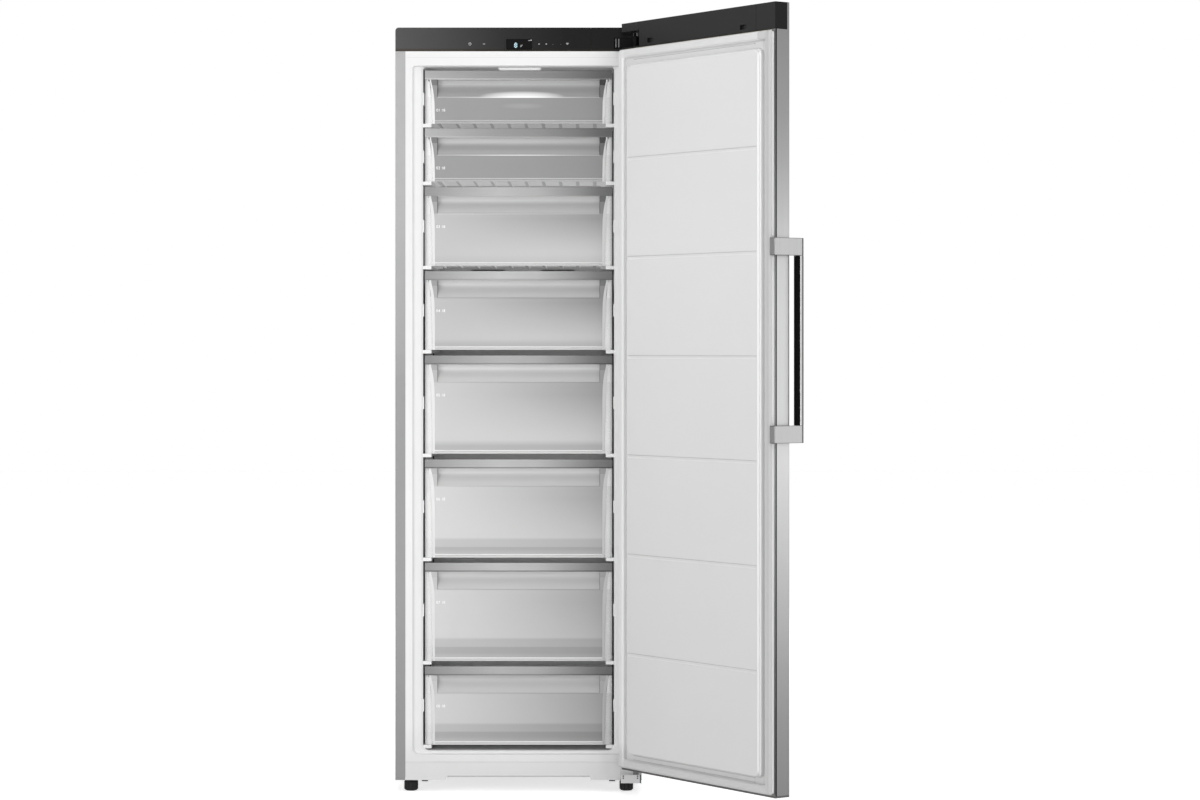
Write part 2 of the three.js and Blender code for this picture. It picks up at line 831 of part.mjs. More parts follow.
// The bottom sheet with its front upstand and the two threaded bosses of the front feet.
function basePlate() {
  const front = plinthTopReturn + seatGap;
  const back = bulkheadFront - seatGap;
  const z0 = basePlateBottom;
  const side = casingInside;
  const bossRadius = footStudRadius + footBossWall;
  const solids = [
    block(-side, side, front, back, z0, z0 + basePlateSheet),
    block(-side, side, front, front + basePlateSheet, z0, plinthTop - plinthSheet - 1),
    ...[-footCentreX, footCentreX].map((x) => (
      rod(bossRadius, cabinetBottom, footStudTop + footBossWall).translate(x, footCentreY, 0)
    )),
    ...baseNubs(front),
  ];
  const holes = [-footCentreX, footCentreX].map((x) => (
    rod(footStudRadius + runningGap, 0, footStudTop + 1).translate(x, footCentreY, 0)
  ));
  return piece('base_plate', 'zincSteel', carve(join(solids), holes));
}

// A foot that is turned by hand: a fluted knob on a stud.
function frontFoot(name, x) {
  const rim = footRim;
  const knob = turned([
    [0, 0],
    [footRadius - rim * 2, 0],
    [footRadius - rim, rim],
    [footRadius, rim * 2],
    [footRadius, footHeight - rim],
    [footRadius - rim, footHeight],
    [footStudRadius, footHeight],
    [footStudRadius, footStudTop],
    [0, footStudTop],
  ]);
  const flutes = Array.from({ length: footFlutes }, (_, i) => {
    const angle = ((i + 0.5) / footFlutes) * Math.PI * 2;
    const flute = rod(footFluteRadius, rim * 2, footHeight + 1, 6);
    return flute.translate(footRadius * Math.cos(angle), footRadius * Math.sin(angle), 0);
  });
  const mesh = piece(name, 'footBlack', carve(toSolid(knob), flutes));
  mesh.position.set(x, footCentreY, 0);
  return mesh;
}

// The bent sheet that walls off the compressor's recess from the foam.
function bulkhead() {
  const t = casingSheet;
  const z0 = basePlateBottom;
  const back = backPanelFront - seatGap;
  const slope = bulkheadSlope;
  const section = outline([
    [bulkheadFront, z0],
    [chamberFront, z0],
    [chamberFront, chamberTop - slope],
    [chamberFront + slope, chamberTop],
    [back, chamberTop],
    [back, chamberTop + t],
    [bulkheadFront + slope, chamberTop + t],
    [bulkheadFront, chamberTop - slope + t],
  ]);
  return piece('chamber_bulkhead', 'zincSteel', alongX(section, -casingInside, casingInside));
}

// The tray that carries the compressor, with a fork under each rear corner for a roller.
function compressorTray() {
  const t = traySheet;
  const z0 = trayBottom;
  const y0 = chamberFront + trayFrontGap;
  const y1 = cabinetDepth - casingSheet - trayBackGap;
  const side = casingInside;
  const solids = [
    block(-side, side, y0, y1, z0, z0 + t),
    block(-side, side, y0, y0 + t, z0, z0 + trayUpturn),
    block(-side, side, y1 - t, y1, z0, z0 + trayUpturn),
  ];
  const cheekAt = rollerWidth / 2 + rollerSideGap;
  const cheek = () => outline([
    [rollerCentreY - cheekHalfTop, z0 + t / 2],
    [rollerCentreY - cheekHalfFoot, rollerRadius - cheekHalfFoot],
    [rollerCentreY + cheekHalfFoot, rollerRadius - cheekHalfFoot],
    [rollerCentreY + cheekHalfTop, z0 + t / 2],
  ]);
  [-rollerCentreX, rollerCentreX].forEach((x) => {
    solids.push(alongX(cheek(), x - cheekAt - rollerCheek, x - cheekAt));
    solids.push(alongX(cheek(), x + cheekAt, x + cheekAt + rollerCheek));
  });
  const bores = [-rollerCentreX, rollerCentreX].map((x) => (
    rod(rollerAxleRadius + runningGap, -overcut * 3, overcut * 3, 16)
      .rotateY(Math.PI / 2)
      .translate(x, rollerCentreY, rollerRadius)
  ));
  return piece('compressor_tray', 'zincSteel', carve(join(solids), bores));
}

// A rear roller and its axle turn together in the fork of the tray.
function rearRoller(name, x) {
  const half = rollerWidth / 2;
  const axle = half + rollerSideGap + rollerCheek + axleProud;
  const edge = rollerEdge;
  const profile = [
    [0, -axle],
    [rollerAxleRadius, -axle],
    [rollerAxleRadius, -half],
    [rollerRadius - edge, -half],
    [rollerRadius, -half + edge],
    [rollerRadius, half - edge],
    [rollerRadius - edge, half],
    [rollerAxleRadius, half],
    [rollerAxleRadius, axle],
    [0, axle],
  ];
  const mesh = piece(name, 'footBlack', turned(profile, 20).rotateY(Math.PI / 2));
  mesh.position.set(x, rollerCentreY, rollerRadius);
  return mesh;
}

// ---- Compressor recess -----------------------------------------------------------------------

const compressorFoot = trayBottom + traySheet + seatGap;
const compressorTop = compressorFoot + grommetHeight + compressorHeight;

// The can's half section, in shares of its radius and height: two pressed cups and a welded rim.
const canProfile = [
  [0, 0],
  [0.55, 0],
  [0.86, 0.09],
  [0.97, 0.24],
  [0.97, 0.47],
  [1, 0.48],
  [1, 0.52],
  [0.97, 0.53],
  [0.96, 0.74],
  [0.86, 0.9],
  [0.55, 1],
  [0, 1],
];

// The sealed can stands on a pressed foot with four rubber grommets.
function compressor() {
  const z0 = compressorFoot + grommetHeight;
  const r = compressorRadius;
  const h = compressorHeight;
  const can = turned(canProfile.map(([radius, height]) => [r * radius, z0 + h * height]), 20)
    .scale(compressorStretch, 1, 1);
  const footHalfX = r * compressorStretch * plateReachX;
  const footHalfY = r * plateReachY;
  const corners = [[-1, -1], [1, -1], [1, 1], [-1, 1]];
  const grommets = corners.map(([sx, sy]) => (
    rod(grommetRadius, compressorFoot, z0 + compressorPlate - 1, 10)
      .translate(sx * footHalfX, sy * footHalfY, 0)
  ));
  const plateShape = roundedRectangle(
    -footHalfX - grommetRadius, footHalfX + grommetRadius,
    -footHalfY - grommetRadius, footHalfY + grommetRadius, grommetRadius,
  );
  const terminalBox = alongX(
    roundedRectangle(
      -terminalHalfWidth, terminalHalfWidth, z0 + h * terminalLow, z0 + h * terminalHigh, terminalCorner,
    ),
    r * compressorStretch - terminalProud / 2, r * compressorStretch + terminalProud,
  );
  const plate = alongZ(plateShape, z0 - 1, z0 + compressorPlate - 1);
  const solid = join([plate, can, ...grommets, terminalBox]);
  const mesh = piece('compressor', 'compressorBlack', solid);
  mesh.position.set(compressorCentreX, compressorCentreY, 0);
  return mesh;
}

// The tray on top of the compressor takes the melt water, and the can's warmth dries it.
function dripTray() {
  const z0 = compressorTop + seatGap;
  const loops = (inset, low, high) => [0, 1].map((share) => {
    const grow = share * dripTrayFlare - inset;
    const z = share ? high : low;
    return roundedPlan(dripTrayWidth / 2 + grow, dripTrayDepth / 2 + grow, dripTrayCorner, z);
  });
  const outer = toSolid(loft(loops(0, z0, z0 + dripTrayHeight)));
  const inner = toSolid(loft(loops(dripTrayWall, z0 + dripTrayWall, z0 + dripTrayHeight + 0.5)));
  const mesh = piece('drip_tray', 'linerWhite', outer.subtract(inner));
  mesh.position.set(compressorCentreX, compressorCentreY, 0);
  return mesh;
}

// A level loop round a rectangle with round corners, seen from above.
function roundedPlan(halfX, halfY, radius, z) {
  return frameLoop({ x0: -halfX, x1: halfX, z0: -halfY, z1: halfY }, radius, 0)
    .map((point) => new THREE.Vector3(point.x, point.z, z));
}

// The discharge pipe climbs from the can's side and enters the wall of the recess.
// Each point is a share of the way to the wall, then shares of the can's radius back and up.
const pipeRoute = [
  [0, -0.25, 0.48],
  [0.14, -0.36, 0.63],
  [0.32, -0.25, 0.82],
  [0.47, 0.36, 0.63],
  [0.86, 0.48, -0.03],
  [0.95, 0.25, -0.2],
  [1, 0.25, -0.2],
];
const pipeStart = 0.96;

function dischargePipe() {
  const startX = compressorCentreX + compressorRadius * compressorStretch * pipeStart;
  const startZ = compressorFoot + grommetHeight + compressorHeight / 2;
  const reach = casingInside - seatGap - startX;
  const route = new THREE.CatmullRomCurve3(pipeRoute.map(([across, back, up]) => new THREE.Vector3(
    startX + across * reach,
    compressorCentreY + back * compressorRadius,
    startZ + up * compressorRadius,
  )));
  const section = new THREE.Shape();
  section.absarc(0, 0, tubeRadius, 0, Math.PI * 2, false);
  const tube = new THREE.ExtrudeGeometry(section, {
    steps: tubeSteps, extrudePath: route, bevelEnabled: false, curveSegments: 3,
  });
  return piece('discharge_pipe', 'copper', tube);
}

// ---- Fascia ----------------------------------------------------------------------------------

function fasciaOutline(x0, x1, roundLeft, inset) {
  const z0 = fasciaBottom + inset;
  const z1 = cabinetTop - inset;
  const r = fasciaCornerRadius - inset;
  const shape = new THREE.Shape();
  shape.moveTo(x0 + inset, z0);
  shape.lineTo(x1 - inset, z0);
  if (roundLeft) {
    shape.lineTo(x1 - inset, z1);
    shape.lineTo(x0 + inset + r, z1);
    shape.absarc(x0 + inset + r, z1 - r, r, Math.PI / 2, Math.PI, false);
  } else {
    shape.lineTo(x1 - inset, z1 - r);
    shape.absarc(x1 - inset - r, z1 - r, r, 0, Math.PI / 2, false);
    shape.lineTo(x0 + inset, z1);
  }
  shape.closePath();
  return shape;
}

function fasciaShell(x0, x1, roundLeft) {
  const outer = alongY(fasciaOutline(x0, x1, roundLeft, 0), 0, fasciaDepth);
  const inner = alongY(fasciaOutline(x0, x1, roundLeft, fasciaWall), fasciaWall, fasciaDepth + overcut);
  return carve(toSolid(outer), [inner]);
}

const hingeCoverLeft = halfWidth - hingeCoverWidth;
const displayBottom = fasciaBottom + displayLowerEdge;

function controlPanel() {
  const shell = fasciaShell(-halfWidth, hingeCoverLeft - seatGap, true);
  const gap = displayWidth / 2 + seatGap;
  const window = block(
    displayCentreX - gap, displayCentreX + gap, -overcut, fasciaWall + overcut / 2,
    displayBottom - seatGap, displayBottom + displayHeight + seatGap,
  );
  return piece('control_panel', 'glossBlack', carve(shell, [window]));
}

function displayWindow() {
  const half = displayWidth / 2;
  const shape = roundedRectangle(
    displayCentreX - half, displayCentreX + half, displayBottom, displayBottom + displayHeight, 1,
  );
  return piece('display_window', 'glossBlack', alongY(shape, 0, displayThickness));
}

// The circuit board behind the panel, with the display module and the touch springs' carrier.
function controlBoard() {
  const z0 = fasciaBottom + (fasciaHeight - boardHeight) / 2;
  const y0 = fasciaWall + boardSetBack;
  const into = y0 + boardThickness / 2;
  const x0 = displayCentreX - boardWidth / 2;
  const x1 = x0 + boardWidth;
  const moduleHalf = displayWidth / 2 - displayModuleMargin;
  const tuck = displayModuleTuck;
  const pads = Array.from({ length: touchPadCount }, (_, i) => {
    const left = displayCentreX - touchPadStart - i * touchPadPitch - touchPadWidth / 2;
    const low = z0 + touchPadRise;
    return block(left, left + touchPadWidth, fasciaWall + seatGap, into, low, low + touchPadHeight);
  });
  const parts = [
    block(x0, x1, y0, y0 + boardThickness, z0, z0 + boardHeight),
    block(displayCentreX - moduleHalf, displayCentreX + moduleHalf, displayThickness + seatGap, into,
      displayBottom + tuck, displayBottom + displayHeight - tuck),
    block(x0 + partInset, x0 + partInset + connectorWidth, y0, y0 + connectorDepth,
      z0 + partRise, z0 + partRise + connectorHeight),
    block(x1 - partInset - relayWidth, x1 - partInset, y0, y0 + relayDepth,
      z0 + partRise, z0 + partRise + relayHeight),
  ];
  return piece('control_board', 'boardGreen', join([...parts, ...pads]));
}

function hingeCover() {
  const shell = fasciaShell(hingeCoverLeft, halfWidth, false);
  const rootRight = hingeX + hingeArmWidth;
  const clear = hingeArmClearance;
  const window = block(
    rootRight - hingeRootWidth - clear, rootRight + clear, -overcut, fasciaWall + overcut,
    hingeArmBottom - clear, hingeArmBottom + hingeArmHeight + clear,
  );
  return piece('hinge_cover', 'glossBlack', carve(shell, [window]));
}

// ---- Door hinges on the cabinet --------------------------------------------------------------

// A thick arm comes out of the cover, and the door's upper pin is riveted in its eye.
function topHingeBracket() {
  const z0 = hingeArmBottom;
  const z1 = z0 + hingeArmHeight;
  const right = hingeX + hingeArmWidth;
  const left = right - hingeRootWidth;
  const back = fasciaDepth + hingeRootBehind;
  const half = hingeArmWidth / 2;
  const root = alongZ(roundedRectangle(left, right, -hingeRootForward, back, hingeRootRadius), z0, z1);
  const neck = block(hingeX - half, hingeX + half, hingeY, -hingeRootForward / 2, z0, z1);
  const eye = rod(hingeEyeRadius, z0, z1).translate(hingeX, hingeY, 0);
  const plate = block(
    left - hingeAnchorWidth, right, hingeAnchorBack - hingeAnchorThickness, hingeAnchorBack,
    z0 - hingeAnchorBelow, z1 + hingeAnchorAbove,
  );
  const pin = rod(hingePinRadius, z0 - hingePinDepth, z1 + pinRivetRise, 16).translate(hingeX, hingeY, 0);
  return piece('top_hinge_bracket', 'zincSteel', join([root, neck, eye, plate, pin]));
}

// The lower bracket is screwed to the front of the casing and carries the door on its pin.
function bottomHingeBracket() {
  const t = hingePlateThickness;
  const right = halfWidth - hingePlateInset;
  const left = right - hingePlateWidth;
  const z0 = cabinetBottom + seatGap;
  const top = z0 + hingeBaseThickness;
  const noseLeft = hingeX - hingeEyeRadius - hingeBaseMargin;
  const front = hingeY - hingeEyeRadius - hingeBaseMargin;
  const corner = hingeBaseCorner;
  const plan = outline([
    [left, -seatGap],
    [left, -hingeBaseShoulder],
    [noseLeft, hingeY + hingeEyeRadius],
    [noseLeft, front + corner],
    [noseLeft + corner, front],
    [right - corner, front],
    [right, front + corner],
    [right, -seatGap],
  ]);
  const shoulder = doorBottom - seatGap;
  const boss = rod(hingeEyeRadius - 1, z0, shoulder).translate(hingeX, hingeY, 0);
  const pinTop = shoulder + hingePinDepth - pinShortening;
  const pin = rod(hingePinRadius, shoulder - 1, pinTop, 16).translate(hingeX, hingeY, 0);
  const plate = block(left, right, -seatGap - t, -seatGap, z0, z0 + hingePlateHeight);
  return piece('bottom_hinge_bracket', 'zincSteel', join([alongZ(plan, z0, top), plate, boss, pin]));
}

// ---- Inside fittings -------------------------------------------------------------------------

function lampLens() {
  const z1 = openingTop - seatGap;
  const loops = [0, 1].map((share) => {
    const inset = share * lampTaper;
    const z = z1 - share * lampHeight;
    return roundedPlan(lampWidth / 2 - inset, lampDepth / 2 - inset, lampCornerRadius, z);
  });
  const mesh = piece('lamp_lens', 'lampClear', loft(loops));
  mesh.position.set(lampCentreX, lampFront + lampDepth / 2, 0);
  return mesh;
}

// The moulded panel over the evaporator: air leaves through long slots and the fan's round grille.
function evaporatorCover() {
  const y0 = coverFront;
  const y1 = coverFront + coverThickness;
  const z0 = pocketBottom - coverMargin;
  const z1 = pocketTop + coverMargin;
  const outer = roundedRectangle(-coverHalfWidth, coverHalfWidth, z0, z1, coverCornerRadius);
  const panel = alongY(outer, y0, y1);
  const slots = slotLevels.flatMap((level) => [-slotCentreX, slotCentreX].map((x) => {
    const half = slotLength / 2;
    const shape = roundedRectangle(
      x - half, x + half, level - slotHeight / 2, level + slotHeight / 2, slotHeight / 2 - 0.2,
    );
    return alongY(shape, y0 - 1, y1 + 1, slotEndSteps);
  }));
  return piece('evaporator_cover', 'linerWhite', carve(toSolid(panel), [...slots, ...fanGrille(y0, y1)]));
}

// Rings of short arcs in front of the fan.
function fanGrille(y0, y1) {
  const half = grilleSlotWidth / 2;
  const span = THREE.MathUtils.degToRad(grilleSlotDegrees);
  const quarterTurn = Math.PI / 2;
  return grilleRings.flatMap((radius) => [0, 1, 2, 3].map((quarter) => {
    const from = quarter * quarterTurn + (quarterTurn - span) / 2;
    const shape = new THREE.Shape();
    shape.absarc(0, 0, radius + half, from, from + span, false);
    shape.absarc(0, 0, radius - half, from + span, from, true);
    shape.closePath();
    return alongY(shape, y0 - 1, y1 + 1).translate(0, 0, fanCentreZ);
  }));
}

// A block of upright fins joined by the pipes that run across it. The two end plates are deeper
// and reach the back of the pocket, which carries them.
function evaporator() {
  const y0 = linerDepth + (pocketDepth - evaporatorDepth) / 2;
  const z0 = evaporatorBottom;
  const z1 = z0 + evaporatorHeight;
  const half = evaporatorHalfWidth;
  const pitch = (2 * half - finThickness) / (finCount - 1);
  const middle = (evaporatorDepth - 2 * finDepth) / 2;
  const core = y0 + evaporatorDepth / 2;
  const solids = Array.from({ length: finCount }, (_, i) => {
    const x = -half + i * pitch;
    const endPlate = i === 0 || i === finCount - 1;
    const y1 = endPlate ? pocketBack - seatGap : y0 + evaporatorDepth;
    return block(x, x + finThickness, y0, y1, z0, z1);
  });
  for (let i = 0; i < evaporatorRows; i += 1) {
    const z = z0 + ((i + 0.5) * evaporatorHeight) / evaporatorRows;
    const pipe = rod(middle, -half - bendReach, half + bendReach, 6).rotateY(Math.PI / 2);
    solids.push(pipe.translate(0, core, z));
  }
  return piece('evaporator', 'finAluminium', join(solids));
}

// The motor hangs behind the fan on three arms that reach the back of its pocket.
function fanMotor() {
  const back = pocketBack - seatGap;
  const front = back - motorLength;
  const armHalf = motorArmWidth / 2;
  const body = rod(motorRadius, front, back, 20).rotateX(-Math.PI / 2).translate(0, 0, fanCentreZ);
  const arms = [90, 210, 330].map((angle) => (
    block(0, fanRadius + motorArmReach, back - motorArmThickness, back, -armHalf, armHalf)
      .rotateY(-THREE.MathUtils.degToRad(angle))
      .translate(0, 0, fanCentreZ)
  ));
  const bore = rod(shaftRadius + runningGap, front - 1, front + shaftLength, 12)
    .rotateX(-Math.PI / 2)
    .translate(0, 0, fanCentreZ);
  return piece('fan_motor', 'capBlack', carve(join([body, ...arms]), [bore]));
}

// The axial fan: twisted blades on a hub, with the shaft that runs in the motor.
function fanRotor() {
  const motorFront = pocketBack - seatGap - motorLength;
  const y1 = motorFront - fanGap;
  const y0 = y1 - fanDepth;
  const hub = rod(fanHubRadius, y0, y1, 16).rotateX(-Math.PI / 2);
  const shaft = rod(shaftRadius, y1 - 1, motorFront + shaftLength - 2, 12).rotateX(-Math.PI / 2);
  const blades = Array.from({ length: fanBlades }, (_, i) => fanBlade(i, y0 + fanDepth / 2));
  const mesh = piece('fan_rotor', 'capBlack', join([hub, shaft, ...blades]));
  mesh.position.set(0, 0, fanCentreZ);
  return mesh;
}

function fanBlade(i, y) {
  const rootInset = 3;
  const length = fanRadius - fanHubRadius + rootInset;
  const t = fanBladeThickness / 2;
  const stations = [0, 0.5, 1].map((share) => {
    const pitch = THREE.MathUtils.degToRad(THREE.MathUtils.lerp(fanRootPitch, fanTipPitch, share));
    const radius = fanHubRadius - rootInset + share * length;
    const half = (fanChord * THREE.MathUtils.lerp(0.62, 1, share)) / 2;
    const corners = [[-half, -t], [half, -t], [half, t], [-half, t]];
    return corners.map(([a, b]) => new THREE.Vector3(
      a * Math.cos(pitch) - b * Math.sin(pitch),
      a * Math.sin(pitch) + b * Math.cos(pitch),
      radius,
    ));
  });
  return loft(stations).rotateY((i / fanBlades) * Math.PI * 2).translate(0, y, 0);
}

// ---- Drawers ---------------------------------------------------------------------------------
// A drawer is made with its front plane at y = 0 and its lower edge at z = 0.

const windowBack = windowRecess + windowThickness;

function drawerTrim(name, height) {
  const t = trimSheet;
  const front = windowRecess - seatGap - t;
  const low = height - trimHeight;
  const section = outline([
    [front, low + trimBevel],
    [front + trimBevelDepth, low],
    [front + t, low],
    [front + t, height - t],
    [trimTopDepth - t, height - t],
    [trimTopDepth - t, height - trimBackReturn],
    [trimTopDepth, height - trimBackReturn],
    [trimTopDepth, height - trimEdge],
    [trimTopDepth - trimEdge, height],
    [front + trimEdge, height],
    [front, height - trimEdge],
  ]);
  return piece(name, 'brushedTrim', alongX(section, -drawerHalfWidth, drawerHalfWidth));
}

function windowOutline(halfX, z0, z1, radius) {
  const shape = new THREE.Shape();
  shape.moveTo(-halfX, z1);
  shape.lineTo(-halfX, z0 + radius);
  shape.absarc(-halfX + radius, z0 + radius, radius, Math.PI, Math.PI * 1.5, false);
  shape.lineTo(halfX - radius, z0);
  shape.absarc(halfX - radius, z0 + radius, radius, Math.PI * 1.5, Math.PI * 2, false);
  shape.lineTo(halfX, z1);
  shape.closePath();
  return shape;
}

// The grip's hollow curves inwards and upwards from its front edge: pairs of depth and height.
function gripCurvePoints(y0, y1, z0, z1) {
  return Array.from({ length: gripSteps + 1 }, (_, i) => {
    const share = i / gripSteps;
    const depth = 1 - (1 - share) ** gripCurve;
    return [THREE.MathUtils.lerp(y0, y1, depth), THREE.MathUtils.lerp(z0, z1, share)];
  });
}

// The clear front: a thin plate with a lip below and a scooped grip under the metal trim.
function drawerWindow(name, height) {
  const plateTop = height - trimSheet - seatGap;
  const gripTop = height - trimHeight - gripDrop;
  const gripLow = gripTop - gripHeight;
  const bend = gripTop - gripStraight;
  const back = gripDepth + gripWall;
  const bead = windowRecess - gripBead;
  const lipFront = windowRecess - windowLipProud;
  const face = windowOutline(drawerHalfWidth, 0, plateTop, windowCornerRadius);
  const plate = toSolid(alongY(face, windowRecess, windowBack));
  const lipSection = outline([
    [lipFront, 0],
    [windowBack, 0],
    [windowBack, windowLipHeight],
    [windowRecess, windowLipHeight],
    [lipFront, windowLipHeight - windowLipProud],
  ]);
  const lip = toSolid(alongX(lipSection, -drawerHalfWidth, drawerHalfWidth))
    .intersect(toSolid(alongY(face, lipFront - 1, windowBack)));
  const wall = outline([
    [bead, gripLow - gripBead],
    [windowRecess, gripLow - 2 * gripBead],
    ...gripCurvePoints(windowBack, back, gripLow - gripBackDrop, bend),
    [back, gripTop + gripWall],
    [windowRecess, gripTop + gripWall],
    [windowRecess, gripLow + gripBead],
    [bead, gripLow],
  ]);
  const hollow = outline([
    [-overcut, gripLow],
    ...gripCurvePoints(windowRecess, gripDepth, gripLow, bend),
    [gripDepth, gripTop],
    [-overcut, gripTop],
  ]);
  const wallHalf = gripHalfWidth + gripWall;
  const solid = plate.add(lip).add(toSolid(alongX(wall, -wallHalf, wallHalf)));
  return piece(name, 'smokyClear', carve(solid, [alongX(hollow, -gripHalfWidth, gripHalfWidth)]));
}

// A loop across the tub: drafted sides, round lower corners and an open top edge.
function tubLoop(y, floor, rim, inset) {
  const top = tubHalfWidthTop - inset;
  const bottom = tubHalfWidthBottom - inset;
  const r = tubCornerRadius - inset;
  return [
    new THREE.Vector3(-top, y, rim),
    ...arcPoints(-bottom + r, floor + r, r, 180, 270, y),
    ...arcPoints(bottom - r, floor + r, r, 270, 360, y),
    new THREE.Vector3(top, y, rim),
  ];
}

function tubSpace(depth, rim, inset, front) {
  const floor = tubFloorHeight + inset;
  const tail = depth - drawerTailLength;
  return toSolid(loft([
    tubLoop(front, floor, rim, inset),
    tubLoop(tail, floor, rim, inset),
    tubLoop(depth - inset, floor + drawerTailRise, rim, inset),
  ]));
}

// A shape on the right of the tub, run from y0 to y1, and its mirror image on the left.
function bothSides(points, y0, y1) {
  const right = alongY(outline(points), y0, y1);
  return [right, mirrored(right)];
}

// Runners that slide on the liner's ledges, and the rim along the tub's sides.
function tubEdges(depth, rim) {
  const front = windowBack + seatGap;
  const foot = tubHalfWidthBottom;
  const runner = [
    [foot - runnerReach, 0],
    [drawerHalfWidth, 0],
    [drawerHalfWidth, runnerThickness],
    [foot + 3, runnerThickness],
    [foot + 1, runnerHeight],
    [foot - 1, runnerHeight],
    [foot - runnerReach, tubFloorHeight + tubWall],
  ];
  const rimInner = tubHalfWidthTop - tubWall / 2;
  const flange = [
    [rimInner, rim - tubWall],
    [tubHalfWidthTop + tubRimWidth, rim - tubWall],
    [tubHalfWidthTop + tubRimWidth, rim],
    [rimInner, rim],
  ];
  return [
    ...bothSides(runner, front, depth - drawerTailLength + tailRunOn),
    ...bothSides(flange, front, depth - tubWall),
  ];
}

// The wings that the clear front is clipped to show through it as bright white corners.
function tubWings(height) {
  const front = windowBack + seatGap;
  const outer = drawerHalfWidth;
  const top = height - trimHeight;
  return bothSides([
    [outer - wingFootWidth, 0],
    [outer, 0],
    [outer, top],
    [outer - wingTopWidth, top],
    [outer - wingShoulderWidth, top - wingShoulderDrop],
  ], front, front + tubWall);
}

function mirrored(geometry) {
  const copy = geometry.clone().scale(-1, 1, 1);
  const positions = copy.attributes.position;
  const swap = new THREE.Vector3();
  const other = new THREE.Vector3();
  for (let i = 0; i < positions.count; i += 3) {
    swap.fromBufferAttribute(positions, i + 1);
    other.fromBufferAttribute(positions, i + 2);
    positions.setXYZ(i + 1, other.x, other.y, other.z);
    positions.setXYZ(i + 2, swap.x, swap.y, swap.z);
  }
  return copy;
}

function drawerTub(name, height, depth) {
  const rim = height - tubRimDrop;
  const front = windowBack + seatGap;
  const firstRib = (-(ribCount - 1) * ribPitch) / 2;
  const ribs = Array.from({ length: ribCount }, (_, i) => {
    const x = firstRib + i * ribPitch;
    return block(x - ribWidth / 2, x + ribWidth / 2, front + ribSetBack, depth - drawerTailLength,
      ribFoot, tubFloorHeight + tubWall / 2);
  });
  const rimHalf = tubHalfWidthTop + tubRimWidth;
  const backRim = block(-rimHalf, rimHalf, depth - tubWall, depth + backRimReach, rim - tubWall, rim);
  const solid = tubSpace(depth, rim, 0, front)
    .add(join([...tubEdges(depth, rim), ...ribs, backRim]))
    .subtract(tubSpace(depth, rim + 1, tubWall, -overcut))
    .add(join(tubWings(height)));
  return piece(name, 'tubWhite', solid);
}

function drawer(index) {
  const number = index + 1;
  const height = drawerHeights[index];
  const group = new THREE.Group();
  group.position.set(0, drawerFrontPlane, drawerBottom(index));
  group.add(drawerTub(`drawer_${number}_tub`, height, drawerLength(index)));
  group.add(drawerWindow(`drawer_${number}_window`, height));
  group.add(drawerTrim(`drawer_${number}_trim`, height));
  return group;
}

// ---- Door ------------------------------------------------------------------------------------
// The door is made in its closed place, and the whole leaf is then turned about its hinge.

const skinBottom = doorBottom + bottomCapHeight + seatGap;
const skinTop = doorTop - topCapHeight - seatGap;

function doorSkinSection() {
  const r = doorCornerRadius;
  const t = doorSheet;
  const x = halfWidth;
  const lip = halfWidth - doorLipWidth;
  const shape = new THREE.Shape();
  shape.moveTo(-lip, doorInner);
  shape.lineTo(-x, doorInner);
  shape.lineTo(-x, doorFront + r);
  shape.absarc(-x + r, doorFront + r, r, Math.PI, Math.PI * 1.5, false);
  shape.lineTo(x - r, doorFront);
  shape.absarc(x - r, doorFront + r, r, Math.PI * 1.5, Math.PI * 2, false);
  shape.lineTo(x, doorInner);
  shape.lineTo(lip, doorInner);
  shape.lineTo(lip, doorInner - t);
  shape.lineTo(x - t, doorInner - t);
  shape.lineTo(x - t, doorFront + r);
  shape.absarc(x - r, doorFront + r, r - t, 0, -Math.PI / 2, true);
  shape.lineTo(-x + r, doorFront + t);
  shape.absarc(-x + r, doorFront + r, r - t, -Math.PI / 2, -Math.PI, true);
  shape.lineTo(-x + t, doorInner - t);
  shape.lineTo(-lip, doorInner - t);
  shape.closePath();
  return shape;
}

// Above the box section the front sheet goes on to the door's top, with narrow returns.
function skinUpstandSection() {
  const r = doorCornerRadius;
  const t = doorSheet;
  const x = halfWidth;
  const back = doorFront + skinReturn;
  const shape = new THREE.Shape();
  shape.moveTo(-x, back);
  shape.lineTo(-x, doorFront + r);
  shape.absarc(-x + r, doorFront + r, r, Math.PI, Math.PI * 1.5, false);
  shape.lineTo(x - r, doorFront);
  shape.absarc(x - r, doorFront + r, r, Math.PI * 1.5, Math.PI * 2, false);
  shape.lineTo(x, back);
  shape.lineTo(x - t, back);
  shape.lineTo(x - t, doorFront + r);
  shape.absarc(x - r, doorFront + r, r - t, 0, -Math.PI / 2, true);
  shape.lineTo(-x + r, doorFront + t);
  shape.absarc(-x + r, doorFront + r, r - t, -Math.PI / 2, -Math.PI, true);
  shape.lineTo(-x + t, back);
  shape.closePath();
  return shape;
}

function doorSkin() {
  const box = alongZ(doorSkinSection(), skinBottom, skinTop);
  const upstand = alongZ(skinUpstandSection(), skinTop - 1, doorTop);
  const armLow = hingeArmBottom - hingeArmClearance;
  const armHigh = hingeArmBottom + hingeArmHeight + hingeArmClearance;
  return piece('door_skin', 'doorSteel', carve(join([box, upstand]), armRoom(armLow, armHigh)));
}

function plugBox(inset) {
  const half = halfWidth - plugInset - inset;
  return { x0: -half, x1: half, z0: plugBottom + inset, z1: plugTop - inset };
}

// The raised plug of the door's liner: a steep wall, a small shelf, a second wall and a soft edge.
function plugSpace(shrink, back) {
  const rise = plugHeight - shrink;
  const loops = [frameLoop(plugBox(shrink), plugCornerRadius, doorInner - back)];
  plugProfile.forEach(([share, inset]) => {
    loops.push(frameLoop(plugBox(inset + shrink), plugCornerRadius, doorInner + share * rise));
  });
  return toSolid(loft(loops));
}

const linerEdge = doorLipWidth + 1;

